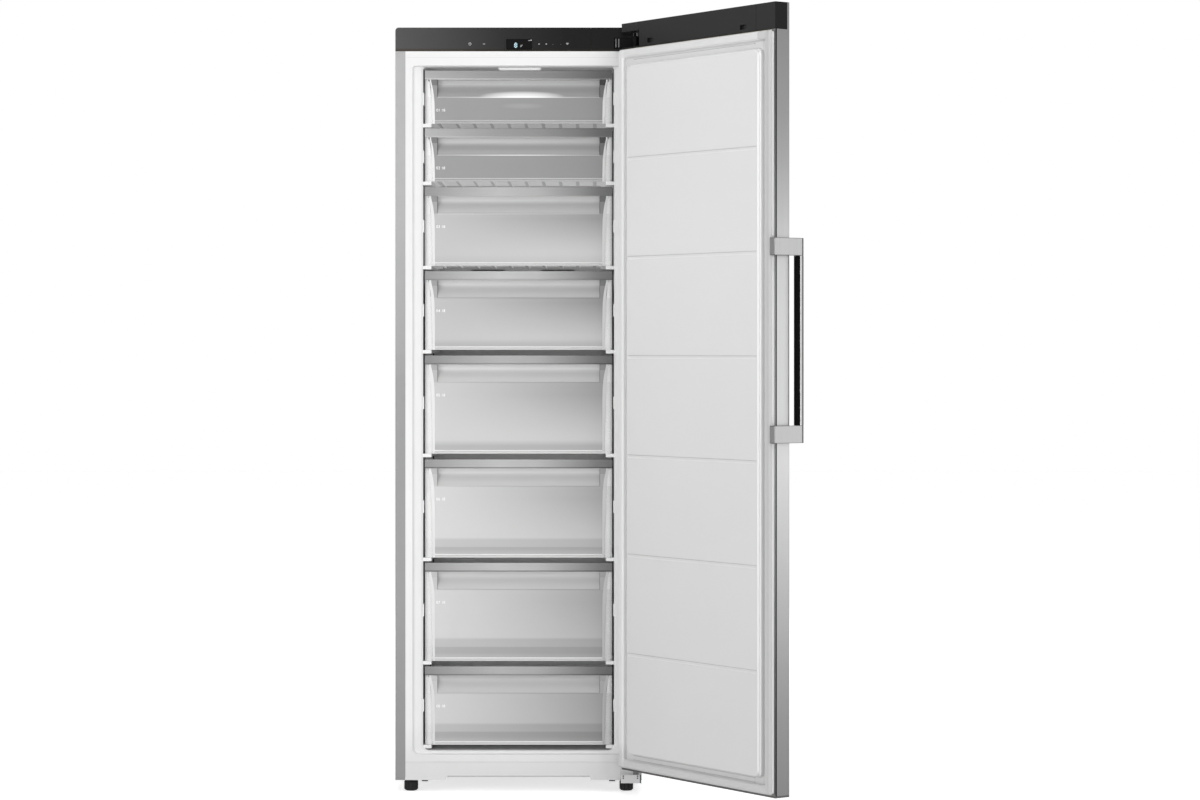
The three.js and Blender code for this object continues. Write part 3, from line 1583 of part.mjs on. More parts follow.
function doorLiner() {
  const t = doorLinerWall;
  const x = halfWidth - linerEdge;
  const plate = block(-x, x, doorInner - t, doorInner, skinBottom + 2, skinTop - 1);
  const shell = toSolid(plate).add(plugSpace(0, t)).subtract(plugSpace(t, t + overcut));
  const y = doorInner + plugHeight;
  const grooveHalf = halfWidth - plugInset - grooveInset;
  const grooveLowest = plugBottom + lowestPanelHeight;
  const groovePitch = (plugTop - highestPanelHeight - grooveLowest) / (grooveCount - 1);
  const grooves = Array.from({ length: grooveCount }, (_, i) => {
    const z = grooveLowest + i * groovePitch;
    const section = outline([
      [y - grooveDepth, z - grooveWidth / 4],
      [y + grooveFlare, z - grooveWidth / 2 - grooveFlare],
      [y + grooveFlare, z + grooveWidth / 2 + grooveFlare],
      [y - grooveDepth, z + grooveWidth / 4],
    ]);
    return alongX(section, -grooveHalf, grooveHalf);
  });
  return piece('door_liner', 'doorWhite', carve(shell, grooves));
}

function doorFoam() {
  const gap = seatGap;
  const x = halfWidth - doorSheet - gap;
  const r = doorCornerRadius;
  const front = doorFront + doorSheet + gap;
  const back = doorInner - doorLinerWall - gap;
  const slab = new THREE.Shape();
  slab.moveTo(-x, back);
  slab.lineTo(-x, front + r);
  slab.absarc(-x + r, front + r, r, Math.PI, Math.PI * 1.5, false);
  slab.lineTo(x - r, front);
  slab.absarc(x - r, front + r, r, Math.PI * 1.5, Math.PI * 2, false);
  slab.lineTo(x, back);
  slab.closePath();
  const whole = toSolid(alongZ(slab, skinBottom, skinTop));
  const bossRoom = hingeEyeRadius + 1;
  const pinRooms = [
    rod(bossRoom, skinTop - hingePinDepth - 2, skinTop + 1).translate(hingeX, hingeY, 0),
    rod(bossRoom, skinBottom - 1, skinBottom + hingePinDepth + 2).translate(hingeX, hingeY, 0),
  ];
  const plug = plugSpace(doorLinerWall + gap, doorLinerWall + overcut);
  const solid = carve(whole.add(plug), pinRooms);
  return piece('door_foam', 'foamYellow', solid);
}

// The upper cap's outline from above: full width at the back, and inside the sheet in front.
function topCapPlan() {
  const inset = doorSheet + seatGap;
  const step = doorFront + skinReturn + seatGap;
  const front = doorFront + inset;
  const r = doorCornerRadius - inset;
  const x = halfWidth;
  const shape = new THREE.Shape();
  shape.moveTo(-x, doorInner);
  shape.lineTo(-x, step);
  shape.lineTo(-x + inset, step);
  shape.absarc(-x + inset + r, front + r, r, Math.PI, Math.PI * 1.5, false);
  shape.lineTo(x - inset - r, front);
  shape.absarc(x - inset - r, front + r, r, Math.PI * 1.5, Math.PI * 2, false);
  shape.lineTo(x - inset, step);
  shape.lineTo(x, step);
  shape.lineTo(x, doorInner);
  shape.closePath();
  return shape;
}

function capPlan() {
  const r = doorCornerRadius;
  const x = halfWidth;
  const shape = new THREE.Shape();
  shape.moveTo(-x, doorInner);
  shape.lineTo(-x, doorFront + r);
  shape.absarc(-x + r, doorFront + r, r, Math.PI, Math.PI * 1.5, false);
  shape.lineTo(x - r, doorFront);
  shape.absarc(x - r, doorFront + r, r, Math.PI * 1.5, Math.PI * 2, false);
  shape.lineTo(x, doorInner);
  shape.closePath();
  return shape;
}

// The room that the hinge arm sweeps in the upper cap, from the closed door to the open one.
function armRoom(z0, z1) {
  const clear = hingeArmWidth / 2 + hingeArmClearance;
  const reach = doorThickness + doorGap;
  const angle = THREE.MathUtils.degToRad(90 - doorOpenDegrees);
  const along = new THREE.Vector2(Math.cos(angle), Math.sin(angle));
  const start = new THREE.Vector2(along.y, -along.x).multiplyScalar(clear);
  const end = start.clone().addScaledVector(along, reach);
  const wedge = outline([
    [-clear, 0],
    [start.x, start.y],
    [end.x, end.y],
    [reach, reach],
    [-clear, reach],
  ]);
  const hole = rod(hingeEyeRadius + hingeArmClearance, z0, z1);
  return [alongZ(wedge, z0, z1), hole].map((geometry) => geometry.translate(hingeX, hingeY, 0));
}

// The cap is open at its hinged corner, so that the arm and its root find room when it is closed.
function cornerPocket(z0, z1) {
  return block(
    halfWidth - capSeamInset, halfWidth + overcut, doorFront + armRoomWall, doorInner + overcut, z0, z1,
  );
}

// A small grip hole with one round end, in the cap's inner face.
function capHole(x, z) {
  const r = capHoleRadius;
  const half = capHoleLength / 2;
  const shape = new THREE.Shape();
  shape.moveTo(x + half, z + r);
  shape.lineTo(x - half + r, z + r);
  shape.absarc(x - half + r, z, r, Math.PI / 2, Math.PI * 1.5, false);
  shape.lineTo(x + half, z - r);
  shape.closePath();
  return alongY(shape, doorInner - capHoleDepth, doorInner + 1);
}

// A fine joint across the cap's inner face, where its end piece begins.
function capSeam(x, z0) {
  const half = capSeamWidth / 2;
  return block(x - half, x + half, doorInner - capSeamWidth, doorInner + 1, z0 - 1, doorTop + 1);
}

// The upper end of the door: a moulded black cap behind the front sheet, with the pin's bush.
function doorTopCap() {
  const z0 = doorTop - topCapHeight;
  const body = toSolid(alongZ(topCapPlan(), z0, doorTop));
  const bush = rod(hingeEyeRadius, z0 - hingePinDepth, z0 + 1).translate(hingeX, hingeY, 0);
  const armLow = hingeArmBottom - armRoomBelow;
  const armHigh = hingeArmBottom + hingeArmHeight + armRoomAbove;
  const bore = rod(hingePinRadius + runningGap, z0 - hingePinDepth + bushFloor, armLow + 1, 16)
    .translate(hingeX, hingeY, 0);
  const holeX = halfWidth - capHoleInset;
  const seamX = halfWidth - capSeamInset + capSeamWidth / 2;
  const cuts = [
    ...armRoom(armLow, armHigh),
    cornerPocket(armLow, armHigh),
    bore,
    capHole(-holeX, z0 + capHoleRise),
    capHole(holeX, z0 + capHoleRise),
    capSeam(-seamX, z0),
    capSeam(seamX, z0),
  ];
  const solid = carve(body.add(toSolid(bush)), cuts);
  return piece('door_top_cap', 'capBlack', solid);
}

function doorBottomCap() {
  const body = toSolid(alongZ(capPlan(), doorBottom, doorBottom + bottomCapHeight));
  const top = skinBottom + hingePinDepth;
  const bush = rod(hingeEyeRadius, doorBottom, top).translate(hingeX, hingeY, 0);
  const bore = rod(hingePinRadius + runningGap, doorBottom - 1, top - bushFloor, 16)
    .translate(hingeX, hingeY, 0);
  return piece('door_bottom_cap', 'capBlack', carve(body.add(toSolid(bush)), [bore]));
}

// The seal's section, in shares of its width and height: a wide foot, a waist and a round bulb.
const sealProfile = [
  [0.12, 0.02],
  [0.88, 0.02],
  [0.86, 0.2],
  [0.76, 0.34],
  [0.98, 0.5],
  [1, 0.72],
  [0.84, 1],
  [0.24, 1],
  [0.1, 0.84],
  [0, 0.6],
  [0.1, 0.44],
  [0.22, 0.34],
  [0.14, 0.2],
];

// The magnetic seal is one soft ring round the door.
function doorGasket() {
  const edge = { x: halfWidth - gasketInset, z0: doorBottom + gasketRise, z1: skinTop - gasketInset };
  const loops = sealProfile.map(([across, up]) => {
    const inset = across * gasketWidth;
    const box = { x0: -edge.x + inset, x1: edge.x - inset, z0: edge.z0 + inset, z1: edge.z1 - inset };
    return frameLoop(box, gasketCornerRadius, doorInner + up * gasketHeight);
  });
  return piece('door_gasket', 'gasketGrey', ring(loops));
}

// ---- Handle ----------------------------------------------------------------------------------

const handleOuter = -halfWidth - seatGap - handleBlockWidth;
const handleFront = doorInner - handleBlockAhead;
const handleBottom = handleTop - handleLength;

// One of the two blocks that stand on the door's free side and carry the bar.
function handleBlock(name, z0) {
  const plan = roundedRectangle(
    handleOuter, -halfWidth - seatGap, handleFront, doorInner + handleBlockBehind, blockCornerRadius,
  );
  return piece(name, 'handleMetal', alongZ(plan, z0, z0 + handleBlockHeight, 2));
}

function barPlan(y0, y1) {
  return roundedRectangle(handleOuter, handleOuter + handleBarWidth, y0, y1, barCornerRadius);
}

function handleBar() {
  const z0 = handleBottom + handleBlockHeight + seatGap;
  const z1 = handleTop - handleBlockHeight - seatGap;
  const plan = barPlan(handleFront, handleFront + handleBarThickness - handleInsertThickness - seatGap);
  return piece('handle_bar', 'handleMetal', alongZ(plan, z0, z1, 2));
}

function handleInsert() {
  const z0 = handleBottom + handleBlockHeight + seatGap;
  const z1 = handleTop - handleBlockHeight - seatGap;
  const y1 = handleFront + handleBarThickness;
  const plan = barPlan(y1 - handleInsertThickness, y1);
  return piece('handle_insert', 'footBlack', alongZ(plan, z0, z1, 2));
}

function doorLeaf() {
  const leaf = new THREE.Group();
  leaf.position.set(-hingeX, -hingeY, 0);
  leaf.add(
    doorSkin(),
    doorLiner(),
    doorFoam(),
    doorTopCap(),
    doorBottomCap(),
    doorGasket(),
    handleBlock('handle_block_upper', handleTop - handleBlockHeight),
    handleBlock('handle_block_lower', handleBottom),
    handleBar(),
    handleInsert(),
  );
  const swing = new THREE.Group();
  swing.position.set(hingeX, hingeY, 0);
  swing.rotation.z = THREE.MathUtils.degToRad(doorOpenDegrees);
  swing.add(leaf);
  return swing;
}

// ---- Assembly --------------------------------------------------------------------------------

const assembly = new THREE.Group();
assembly.add(
  outerCasing(),
  backPanel(),
  innerLiner(),
  foamCore(),
  bottomRail(),
  basePlate(),
  bulkhead(),
  compressorTray(),
  compressor(),
  dripTray(),
  dischargePipe(),
  controlPanel(),
  displayWindow(),
  controlBoard(),
  hingeCover(),
  topHingeBracket(),
  bottomHingeBracket(),
  lampLens(),
  evaporatorCover(),
  evaporator(),
  fanMotor(),
  fanRotor(),
  frontFoot('front_foot_left', -footCentreX),
  frontFoot('front_foot_right', footCentreX),
  rearRoller('rear_roller_left', -rollerCentreX),
  rearRoller('rear_roller_right', rollerCentreX),
  doorLeaf(),
);
drawerTops.forEach((_, index) => assembly.add(drawer(index)));

const bounds = new THREE.Box3().setFromObject(assembly, true);
const centre = bounds.getCenter(new THREE.Vector3());
assembly.position.set(-centre.x, -centre.y, -bounds.min.z);

const freezer = new THREE.Group();
freezer.add(assembly);
freezer.updateMatrixWorld(true);

export default freezer;
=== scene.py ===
# %% [markdown]
# # An upright freezer with its door open
#
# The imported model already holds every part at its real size. This lesson gives each part its
# finish, adds the small signs, screws and moulded lines, and lights the whole thing softly on a
# pale floor.

import json
import math

import bpy
from mathutils import Matrix, Vector


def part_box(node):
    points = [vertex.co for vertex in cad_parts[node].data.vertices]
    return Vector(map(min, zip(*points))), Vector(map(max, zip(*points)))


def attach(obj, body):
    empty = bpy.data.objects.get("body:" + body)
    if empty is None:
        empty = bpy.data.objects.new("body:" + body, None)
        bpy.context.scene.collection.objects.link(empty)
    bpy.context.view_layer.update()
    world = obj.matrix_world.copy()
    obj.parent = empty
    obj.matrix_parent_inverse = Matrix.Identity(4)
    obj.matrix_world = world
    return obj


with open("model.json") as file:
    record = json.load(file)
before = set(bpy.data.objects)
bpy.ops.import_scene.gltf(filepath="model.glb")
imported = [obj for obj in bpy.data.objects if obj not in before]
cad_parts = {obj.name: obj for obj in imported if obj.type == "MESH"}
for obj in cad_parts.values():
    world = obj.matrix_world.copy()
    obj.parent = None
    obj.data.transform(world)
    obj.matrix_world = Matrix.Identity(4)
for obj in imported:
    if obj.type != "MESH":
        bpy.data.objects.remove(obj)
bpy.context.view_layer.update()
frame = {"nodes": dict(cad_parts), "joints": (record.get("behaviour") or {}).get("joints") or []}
nodes = frame["nodes"]
print("CAD nodes:", len(nodes))

# %% [markdown]
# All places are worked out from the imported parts. The cabinet's own origin is the middle of its
# front face on the floor, so a helper turns cabinet millimetres into metres in the shared frame.
# The door stands open, so another helper turns the places of a closed door about its hinge pins.

# %% Places
MM = 0.001
casing_low, casing_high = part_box("outer_casing")
cabinet_x = (casing_low.x + casing_high.x) / 2
cabinet_y = casing_low.y
hinge_joint = next(j for j in frame["joints"] if j["name"] == "door_hinge")
hinge = Vector((hinge_joint["pos_m"][0], hinge_joint["pos_m"][1], 0))
DOOR_OPEN = math.radians(125)
DOOR_TURN = Matrix.Translation(hinge) @ Matrix.Rotation(DOOR_OPEN, 4, "Z") @ Matrix.Translation(-hinge)
DOOR_SHIFT = Matrix.Rotation(-DOOR_OPEN, 3, "Z") @ hinge - hinge
TURN_BACK = (0, 0, -DOOR_OPEN)
DRAWERS = range(1, 9)


def at(x, y, z):
    """Cabinet millimetres to metres in the shared frame."""
    return Vector((cabinet_x + x * MM, cabinet_y + y * MM, z * MM))


def door_at(x, y):
    """A closed door's millimetres as the coordinates that a turned-back pattern reads."""
    return at(x, y, 0) + DOOR_SHIFT


print("cabinet middle", round(cabinet_x, 4), "front", round(cabinet_y, 4))

# %% [markdown]
# ## Shader maths
#
# A finish is a chain of nodes. Writing each link by hand hides the idea, so a small class wraps a
# socket and lets Python's operators add the Math nodes.


# %% A wire between nodes
class Wire:
    """A value that comes out of a shader node."""

    def __init__(self, finish, socket):
        self.finish = finish
        self.socket = socket

    def __add__(self, other):
        return self.finish.math("ADD", self, other)

    def __radd__(self, other):
        return self.finish.math("ADD", other, self)

    def __sub__(self, other):
        return self.finish.math("SUBTRACT", self, other)

    def __rsub__(self, other):
        return self.finish.math("SUBTRACT", other, self)

    def __mul__(self, other):
        return self.finish.math("MULTIPLY", self, other)

    def __rmul__(self, other):
        return self.finish.math("MULTIPLY", other, self)

    def __lt__(self, other):
        return self.finish.math("LESS_THAN", self, other)

    def __gt__(self, other):
        return self.finish.math("GREATER_THAN", self, other)

    def __abs__(self):
        return self.finish.math("ABSOLUTE", self, 0.0)

    def between(self, low, high):
        """One inside a range and nothing outside it."""
        return (self > low) * (self < high)


print("shader operators ready")

# %% [markdown]
# A second class holds one material. Its `node` method adds any node, and the others are short
# names for the nodes that every finish here needs: a noise, a ramp along one coordinate, a grey.
# All of them read Object coordinates, so a pattern stays on its part wherever the part moves.


# %% A finish and its nodes
class Finish:
    """A material whose nodes are added one by one."""

    def __init__(self, name, **constants):
        self.material = bpy.data.materials.new(name)
        self.material.use_nodes = True
        self.tree = self.material.node_tree
        self.shader = self.tree.nodes["Principled BSDF"]
        for socket, value in constants.items():
            self.shader.inputs[socket.replace("_", " ")].default_value = value

    def feed(self, socket, value):
        if isinstance(value, Wire):
            self.tree.links.new(value.socket, socket)
        else:
            socket.default_value = value

    def node(self, kind, settings=None, inputs=None, out=0):
        made = self.tree.nodes.new(kind)
        for key, value in (settings or {}).items():
            if key == "stops":
                self.set_stops(made.color_ramp, value)
            else:
                setattr(made, key, value)
        for key, value in (inputs or {}).items():
            self.feed(made.inputs[key], value)
        return Wire(self, made.outputs[out])

    def set_stops(self, ramp, stops):
        while len(ramp.elements) < len(stops):
            ramp.elements.new(1.0)
        for element, (place, colour) in zip(ramp.elements, stops):
            element.position = place
            element.color = colour

    def math(self, operation, a, b=0.0):
        return self.node("ShaderNodeMath", {"operation": operation}, {0: a, 1: b})

    def clamp01(self, value):
        return self.node("ShaderNodeClamp", None, {"Value": value})

    def place(self, scale=(1, 1, 1), turn=(0, 0, 0)):
        """Object coordinates, first turned and then stretched."""
        spot = self.node("ShaderNodeTexCoord", None, None, "Object")
        turned = self.node("ShaderNodeMapping", None, {"Vector": spot, "Rotation": turn})
        return self.node("ShaderNodeMapping", None, {"Vector": turned, "Scale": scale})

    def noise(self, where, scale, detail=2.0, rough=0.5):
        return self.node(
            "ShaderNodeTexNoise", None,
            {"Vector": where, "Scale": scale, "Detail": detail, "Roughness": rough},
        )

    def across(self, axis, turn=(0, 0, 0)):
        """One Object coordinate in metres, also of a turned body."""
        spot = self.place((1, 1, 1), turn)
        return self.node("ShaderNodeSeparateXYZ", None, {"Vector": spot}, axis)

    def ramp(self, value, low, high, levels):
        """Smooth levels along a coordinate; each level is a share of the way and a grey."""
        share = self.node("ShaderNodeMapRange", None, {"Value": value, 1: low, 2: high})
        stops = [(place, (grey, grey, grey, 1)) for place, grey in levels]
        colour = self.node("ShaderNodeValToRGB", {"stops": stops}, {0: share})
        return self.node("ShaderNodeSeparateColor", None, {"Color": colour}, 0)

    def tint(self, factor, first, second):
        """A colour between two, by a factor."""
        colours = {0: factor, 6: (*first, 1), 7: (*second, 1)}
        return self.node("ShaderNodeMix", {"data_type": "RGBA"}, colours, 2)

    def grey(self, level, warm=0.0):
        """A grey colour whose level is itself a wire."""
        parts = {0: level * (1 + warm), 1: level, 2: level * (1 - warm)}
        return self.node("ShaderNodeCombineColor", None, parts)

    def set(self, socket, value):
        self.feed(self.shader.inputs[socket], value)

    def glow(self, colour, strength=1.0):
        """A little light of its own, for lamps, for light through a thin wall and for painted light on a
        face.
        """
        self.set("Emission Color", colour)
        self.set("Emission Strength", strength)

    def bump(self, height, strength, distance=0.0002):
        relief = {"Height": height, "Strength": strength, "Distance": distance}
        self.set("Normal", self.node("ShaderNodeBump", None, relief))


def shade(value):
    return (value, value, value)


print("finish helper ready")

# %% [markdown]
# ## Metals
#
# The casing is painted steel, lit brightest near the top and dim towards the floor. Strong lamps
# could draw that, but they would burn out the white parts. A ramp along the height paints that
# light and shade with a few levels, and a fine noise gives the paint its orange peel.


# %% Painted steel with painted light and shade along one coordinate
def shaded_steel(name, grey, axis, low, high, levels, fine=False):
    """Painted steel with painted light and shade along one coordinate; the fine kind has an orange peel."""
    finish = Finish(name, Metallic=0.3)
    cloud = finish.noise(finish.place(), 40.0, 3.0)
    level = (cloud * 0.1 + 0.95) * grey * finish.ramp(finish.across(axis), low, high, levels)
    finish.set("Base Color", finish.grey(level))
    finish.set("Roughness", cloud * 0.1 + 0.36)
    if fine:
        finish.bump(finish.noise(finish.place(), 700.0), 0.04)
    return finish.material


# The casing's paint with a painted sheen: bright near the top, dim towards the floor.
casing_paint_and_sheen = shaded_steel(
    "casing_paint_and_sheen", 0.37, "Z", 0.03, 1.85,
    [
        (0.0, 0.58), (0.05, 0.59), (0.25, 0.645), (0.43, 0.63), (0.53, 0.68), (0.585, 0.78),
        (0.64, 0.83), (0.69, 0.88), (0.744, 0.96), (0.85, 1.0), (1.0, 1.0),
    ],
    fine=True,
)
print("made", casing_paint_and_sheen.name)

# %% [markdown]
# The door, the handle and the trims are brushed steel. The grooves are far too fine to be cut, so
# a noise, stretched a few hundred times along the brushing direction, changes the roughness and
# makes a very shallow bump. The door's pieces stand turned by the hinge, so their pattern is
# turned back first.


# %% Brushed metal
def brushed(name, grey, along, turn=(0, 0, 0), rough=0.3, sheens=(), shades=()):
    """Brushed metal with painted sheens and painted shade.

    A sheen is painted light along a coordinate: the coordinate, its two ends and the levels
    between them. A shade is painted shade in a box of coordinates: the box and the level inside it.
    """
    finish = Finish(name, Metallic=0.9)
    stretch = {"x": (2, 300, 900), "z": (900, 300, 2)}[along]
    streak = finish.noise(finish.place(stretch, turn), 1.0, 4.0, 0.6)
    cloud = finish.noise(finish.place((1, 1, 1), turn), 3.0)
    finish.set("Roughness", finish.clamp01((streak - 0.5) * 0.16 + (cloud - 0.5) * 0.06 + rough))
    level = streak * (0.11 * grey) + 0.945 * grey
    for axis, low, high, levels in sheens:
        level = level * finish.ramp(finish.across(axis, turn), low, high, levels)
    for ranges, dim in shades:
        inside = 1.0
        for axis, low, high in ranges:
            inside = finish.across(axis, turn).between(low, high) * inside
        level = level * (1 - inside * (1 - dim))
    finish.set("Base Color", finish.grey(level))
    finish.bump(streak, 0.05)
    return finish.material


fin_metal = brushed("fin_metal", 0.6, "z", rough=0.4)
print("made", fin_metal.name)

# %% [markdown]
# The open door shows its long steel side. The room's light lies along it as a painted sheen, dim
# at both ends. The folded edge gets the painted shade of the seal, and deep in the notch for the
# upper hinge the corner is painted black as shade. The outer face stands square to the room when
# the door is closed, so a painted shade tones it down against the lamps' glare.

# %% The door's steel
DOOR_HEIGHTS = (0.06, 1.85)
UP_THE_DOOR = (
    "Z", *DOOR_HEIGHTS,
    [
        (0.0, 0.3), (0.1, 0.385), (0.165, 0.47), (0.323, 0.784), (0.42, 0.96), (0.6, 0.96),
        (0.68, 0.9), (0.735, 0.73), (0.8, 0.555), (0.86, 0.45), (1.0, 0.34),
    ],
)
SIDE_EDGE = (
    "Y", door_at(0, -24).y, door_at(0, -14.9).y,
    [(0.0, 1.0), (0.5, 1.0), (0.54, 0.08), (0.96, 0.08), (0.985, 0.85), (1.0, 0.85)],
)
# Painted shade: the corner deep in the notch for the upper hinge is nearly black.
NOTCH_CORNER = (
    [
        ("X", door_at(294, 0).x, door_at(297.6, 0).x),
        ("Y", door_at(0, -57).y, door_at(0, -51).y),
        ("Z", 1.815, 1.86),
    ],
    0.03,
)
# Painted shade on the outer face, against the lamps' glare when the door is closed.
DOOR_FRONT = ([("Y", door_at(0, -60).y, door_at(0, -57.7).y)], 0.5)
door_metal = brushed(
    "door_metal", 0.66, "z", TURN_BACK, rough=0.34, sheens=(UP_THE_DOOR, SIDE_EDGE),
    shades=(NOTCH_CORNER, DOOR_FRONT),
)
print("made", door_metal.name)

# %% [markdown]
# The handle is a plain bar between two blocks. Painted shade darkens its inner end, which faces
# the cabinet, the far corner of its outer side from top to bottom, and a thin line where each
# block ends above and below. Its front, square to the room when the door is closed, is toned
# down by painted shade against the lamps' glare.

# %% The handle's steel
# Painted sheen and painted shade on the handle's steel.
HANDLE_ENDS = (
    "Y", door_at(0, -81.2).y, door_at(0, 2.2).y,
    [(0.0, 1.0), (0.972, 1.0), (0.982, 0.5), (1.0, 0.44)],
)
HANDLE_CORNER = (
    [
        ("X", door_at(-318, 0).x, door_at(-316, 0).x),
        ("Y", door_at(0, -81.3).y, door_at(0, -77).y),
    ],
    0.02,
)
HANDLE_FRONT = ([("Y", door_at(0, -82).y, door_at(0, -80.7).y)], 0.6)
BLOCK_ENDS = (1.3195, 1.28, 0.898, 0.8585)
BLOCK_LINE = 0.0011
block_edge_shade = [([("Z", z - BLOCK_LINE, z + BLOCK_LINE)], 0.3) for z in BLOCK_ENDS]
handle_metal = brushed(
    "handle_metal", 0.54, "z", TURN_BACK, sheens=(HANDLE_ENDS,),
    shades=(HANDLE_CORNER, HANDLE_FRONT),
)
block_metal = brushed(
    "block_metal", 0.52, "z", TURN_BACK, sheens=(HANDLE_ENDS,),
    shades=(HANDLE_CORNER, HANDLE_FRONT, *block_edge_shade),
)
print("made", handle_metal.name, "and", block_metal.name)

# %% [markdown]
# The trims of the drawers are brushed from side to side and carry a painted sheen. Those of the
# two upper drawers get darker towards the right, and the others are brightest left of their
# middle and dimmer further down.

# %% The trims' steel
left_end = at(-230, 0, 0).x
right_end = at(230, 0, 0).x
# Painted sheens: the upper trims fall off to the right, the others peak left of the middle.
FALLING = (
    "X", left_end, right_end,
    [(0.0, 0.72), (0.2, 0.62), (0.4, 0.52), (0.6, 0.45), (0.8, 0.32), (0.92, 0.22), (1.0, 0.19)],
)
PEAKED = (
    "X", left_end, right_end,
    [(0.0, 0.27), (0.2, 0.39), (0.4, 0.46), (0.6, 0.41), (0.8, 0.26), (0.92, 0.16), (1.0, 0.13)],
)
HIGH_AND_LOW = ("Z", 0.8, 1.5, [(0.0, 0.62), (0.4, 0.62), (0.6, 0.9), (1.0, 1.0)])
upper_trim = brushed("upper_trim", 0.46, "x", rough=0.33, sheens=(FALLING,))
lower_trim = brushed("lower_trim", 0.74, "x", rough=0.33, sheens=(PEAKED, HIGH_AND_LOW))
print("made", upper_trim.name, "and", lower_trim.name)

# %% [markdown]
# Behind and below, the sheets are galvanised: zinc grows in flat crystals, and a pattern of cells,
# each with a level of its own, comes closer to it than a noise. The lower hinge's plate is bright,
# and its pin's eye, which stands in the door's shade, gets painted shade. The bent edges under the
# base sheet, low under the plinth, get painted shade that makes them nearly black.


# %% Zinc, hinge and base sheet
def galvanised(name, grey):
    finish = Finish(name, Metallic=0.75)
    cells = {"Vector": finish.place(), "Scale": 90.0}
    spangle = finish.node("ShaderNodeTexVoronoi", {"feature": "F1"}, cells, "Color")
    level = finish.node("ShaderNodeSeparateColor", None, {"Color": spangle})
    cloud = finish.noise(finish.place(), 6.0, 3.0, 0.55)
    finish.set("Roughness", level * 0.14 + (cloud - 0.5) * 0.1 + 0.38)
    finish.set("Base Color", finish.tint(level, shade(grey * 0.9), shade(grey * 1.08)))
    return finish.material


zinc = galvanised("zinc", 0.5)
# Painted shade of the door on the front of the lower hinge, its pin's eye.
lower_hinge = shaded_steel(
    "lower_hinge", 0.5, "Y", at(0, -6, 0).y, at(0, -2, 0).y,
    [(0.0, 0.3), (0.4, 0.3), (0.6, 1.0), (1.0, 1.0)],
)
# Painted shade under the plinth: the base sheet is nearly black below about 28 mm.
base_steel = shaded_steel(
    "base_steel", 0.5, "Z", 0.024, 0.032, [(0.0, 0.03), (0.5, 0.03), (0.56, 1.0), (1.0, 1.0)],
)
print("made", zinc.name, lower_hinge.name, base_steel.name)

# %% [markdown]
# ## Plain finishes
#
# Most other pieces are plain: painted rails and screws, white sheet with a soft sheen and a faint
# orange peel, and moulded black with a dull grain. One helper for each kind keeps them alike, and
# only the grey and the gloss differ.


# %% Helpers for plain finishes
def painted_steel(name, grey, rough, metallic):
    finish = Finish(name, Metallic=metallic, Coat_Weight=0.15)
    skin = finish.noise(finish.place(), 420.0)
    cloud = finish.noise(finish.place(), 2.2)
    finish.set("Roughness", (cloud - 0.5) * 0.08 + rough)
    finish.set("Base Color", finish.tint(cloud, shade(grey * 0.98), shade(grey * 1.02)))
    finish.bump(skin, 0.04)
    return finish.material


def sheet_plastic(name, grey, rough):
    finish = Finish(name, Coat_Weight=0.05)
    skin = finish.noise(finish.place(), 260.0)
    cloud = finish.noise(finish.place(), 4.0)
    finish.set("Roughness", (cloud - 0.5) * 0.1 + rough)
    finish.set("Base Color", finish.tint(cloud, shade(grey * 0.985), shade(grey * 1.01)))
    finish.bump(skin, 0.03)
    return finish.material


def moulded_black(name, grey, rough, grain=700.0, depth=0.08, gloss=0.25):
    finish = Finish(name, Specular_IOR_Level=gloss)
    skin = finish.noise(finish.place(), grain, 3.0, 0.6)
    cloud = finish.noise(finish.place(), 7.0)
    finish.set("Roughness", (skin - 0.5) * 0.12 + (cloud - 0.5) * 0.08 + rough)
    finish.set("Base Color", finish.tint(cloud, shade(grey * 0.9), shade(grey * 1.12)))
    finish.bump(skin, depth, 0.0001)
    return finish.material


print("plain finish helpers ready")

# %% Plain finishes
rail_white = painted_steel("rail_white", 0.67, rough=0.36, metallic=0.0)
cover_white = sheet_plastic("cover_white", 0.78, rough=0.42)
tray_white = sheet_plastic("tray_white", 0.7, rough=0.5)
display_black = moulded_black("display_black", 0.004, 0.12, grain=120.0, depth=0.01, gloss=0.1)
lower_cap_grey = moulded_black("lower_cap_grey", 0.11, 0.4, gloss=0.2)
foot_black = moulded_black("foot_black", 0.008, 0.6)
motor_black = moulded_black("motor_black", 0.03, 0.5)
insert_black = moulded_black("insert_black", 0.002, 0.4, gloss=0.04)
compressor_black = moulded_black("compressor_black", 0.015, 0.32, grain=300.0, depth=0.12)
print("materials so far:", len(bpy.data.materials))

# %% [markdown]
# ## The drawers
#
# A tub is thin white plastic, so light gets through it, most of all in the wings that show at
# both ends of the clear front. Real translucency would need many samples. A low glow of its own,
# set by place, is painted light that looks the same and stays clean; a weaker one over the rest of
# the tub lightens the drawers' undersides and the gaps between them. The ribs under the floor get
# a painted shadow here, and the tub's sides, which run close to the liner's walls, get painted
# shade that makes them dark, as do the wings' outer edges and the wings on the right.

# %% Measures of the tubs
SHALLOW = (1, 2)
WING_INNER = 0.2022
WING_DEPTH_MM = 22
WING_EDGE = (0.2163, 0.2263)
SIDE_FROM = 0.2262
SIDE_FROM_MM = 20
RIB_PITCH = 0.042
RIB_TALL = 0.0047
RIB_SHARE = (0.78, 0.99)
SIDE_SHADE = 0.94
GRIP_TALL = 0.065
INNER_GLOW = {3: 0.2, 4: 0.0}
print("a rib every", RIB_PITCH, "m")


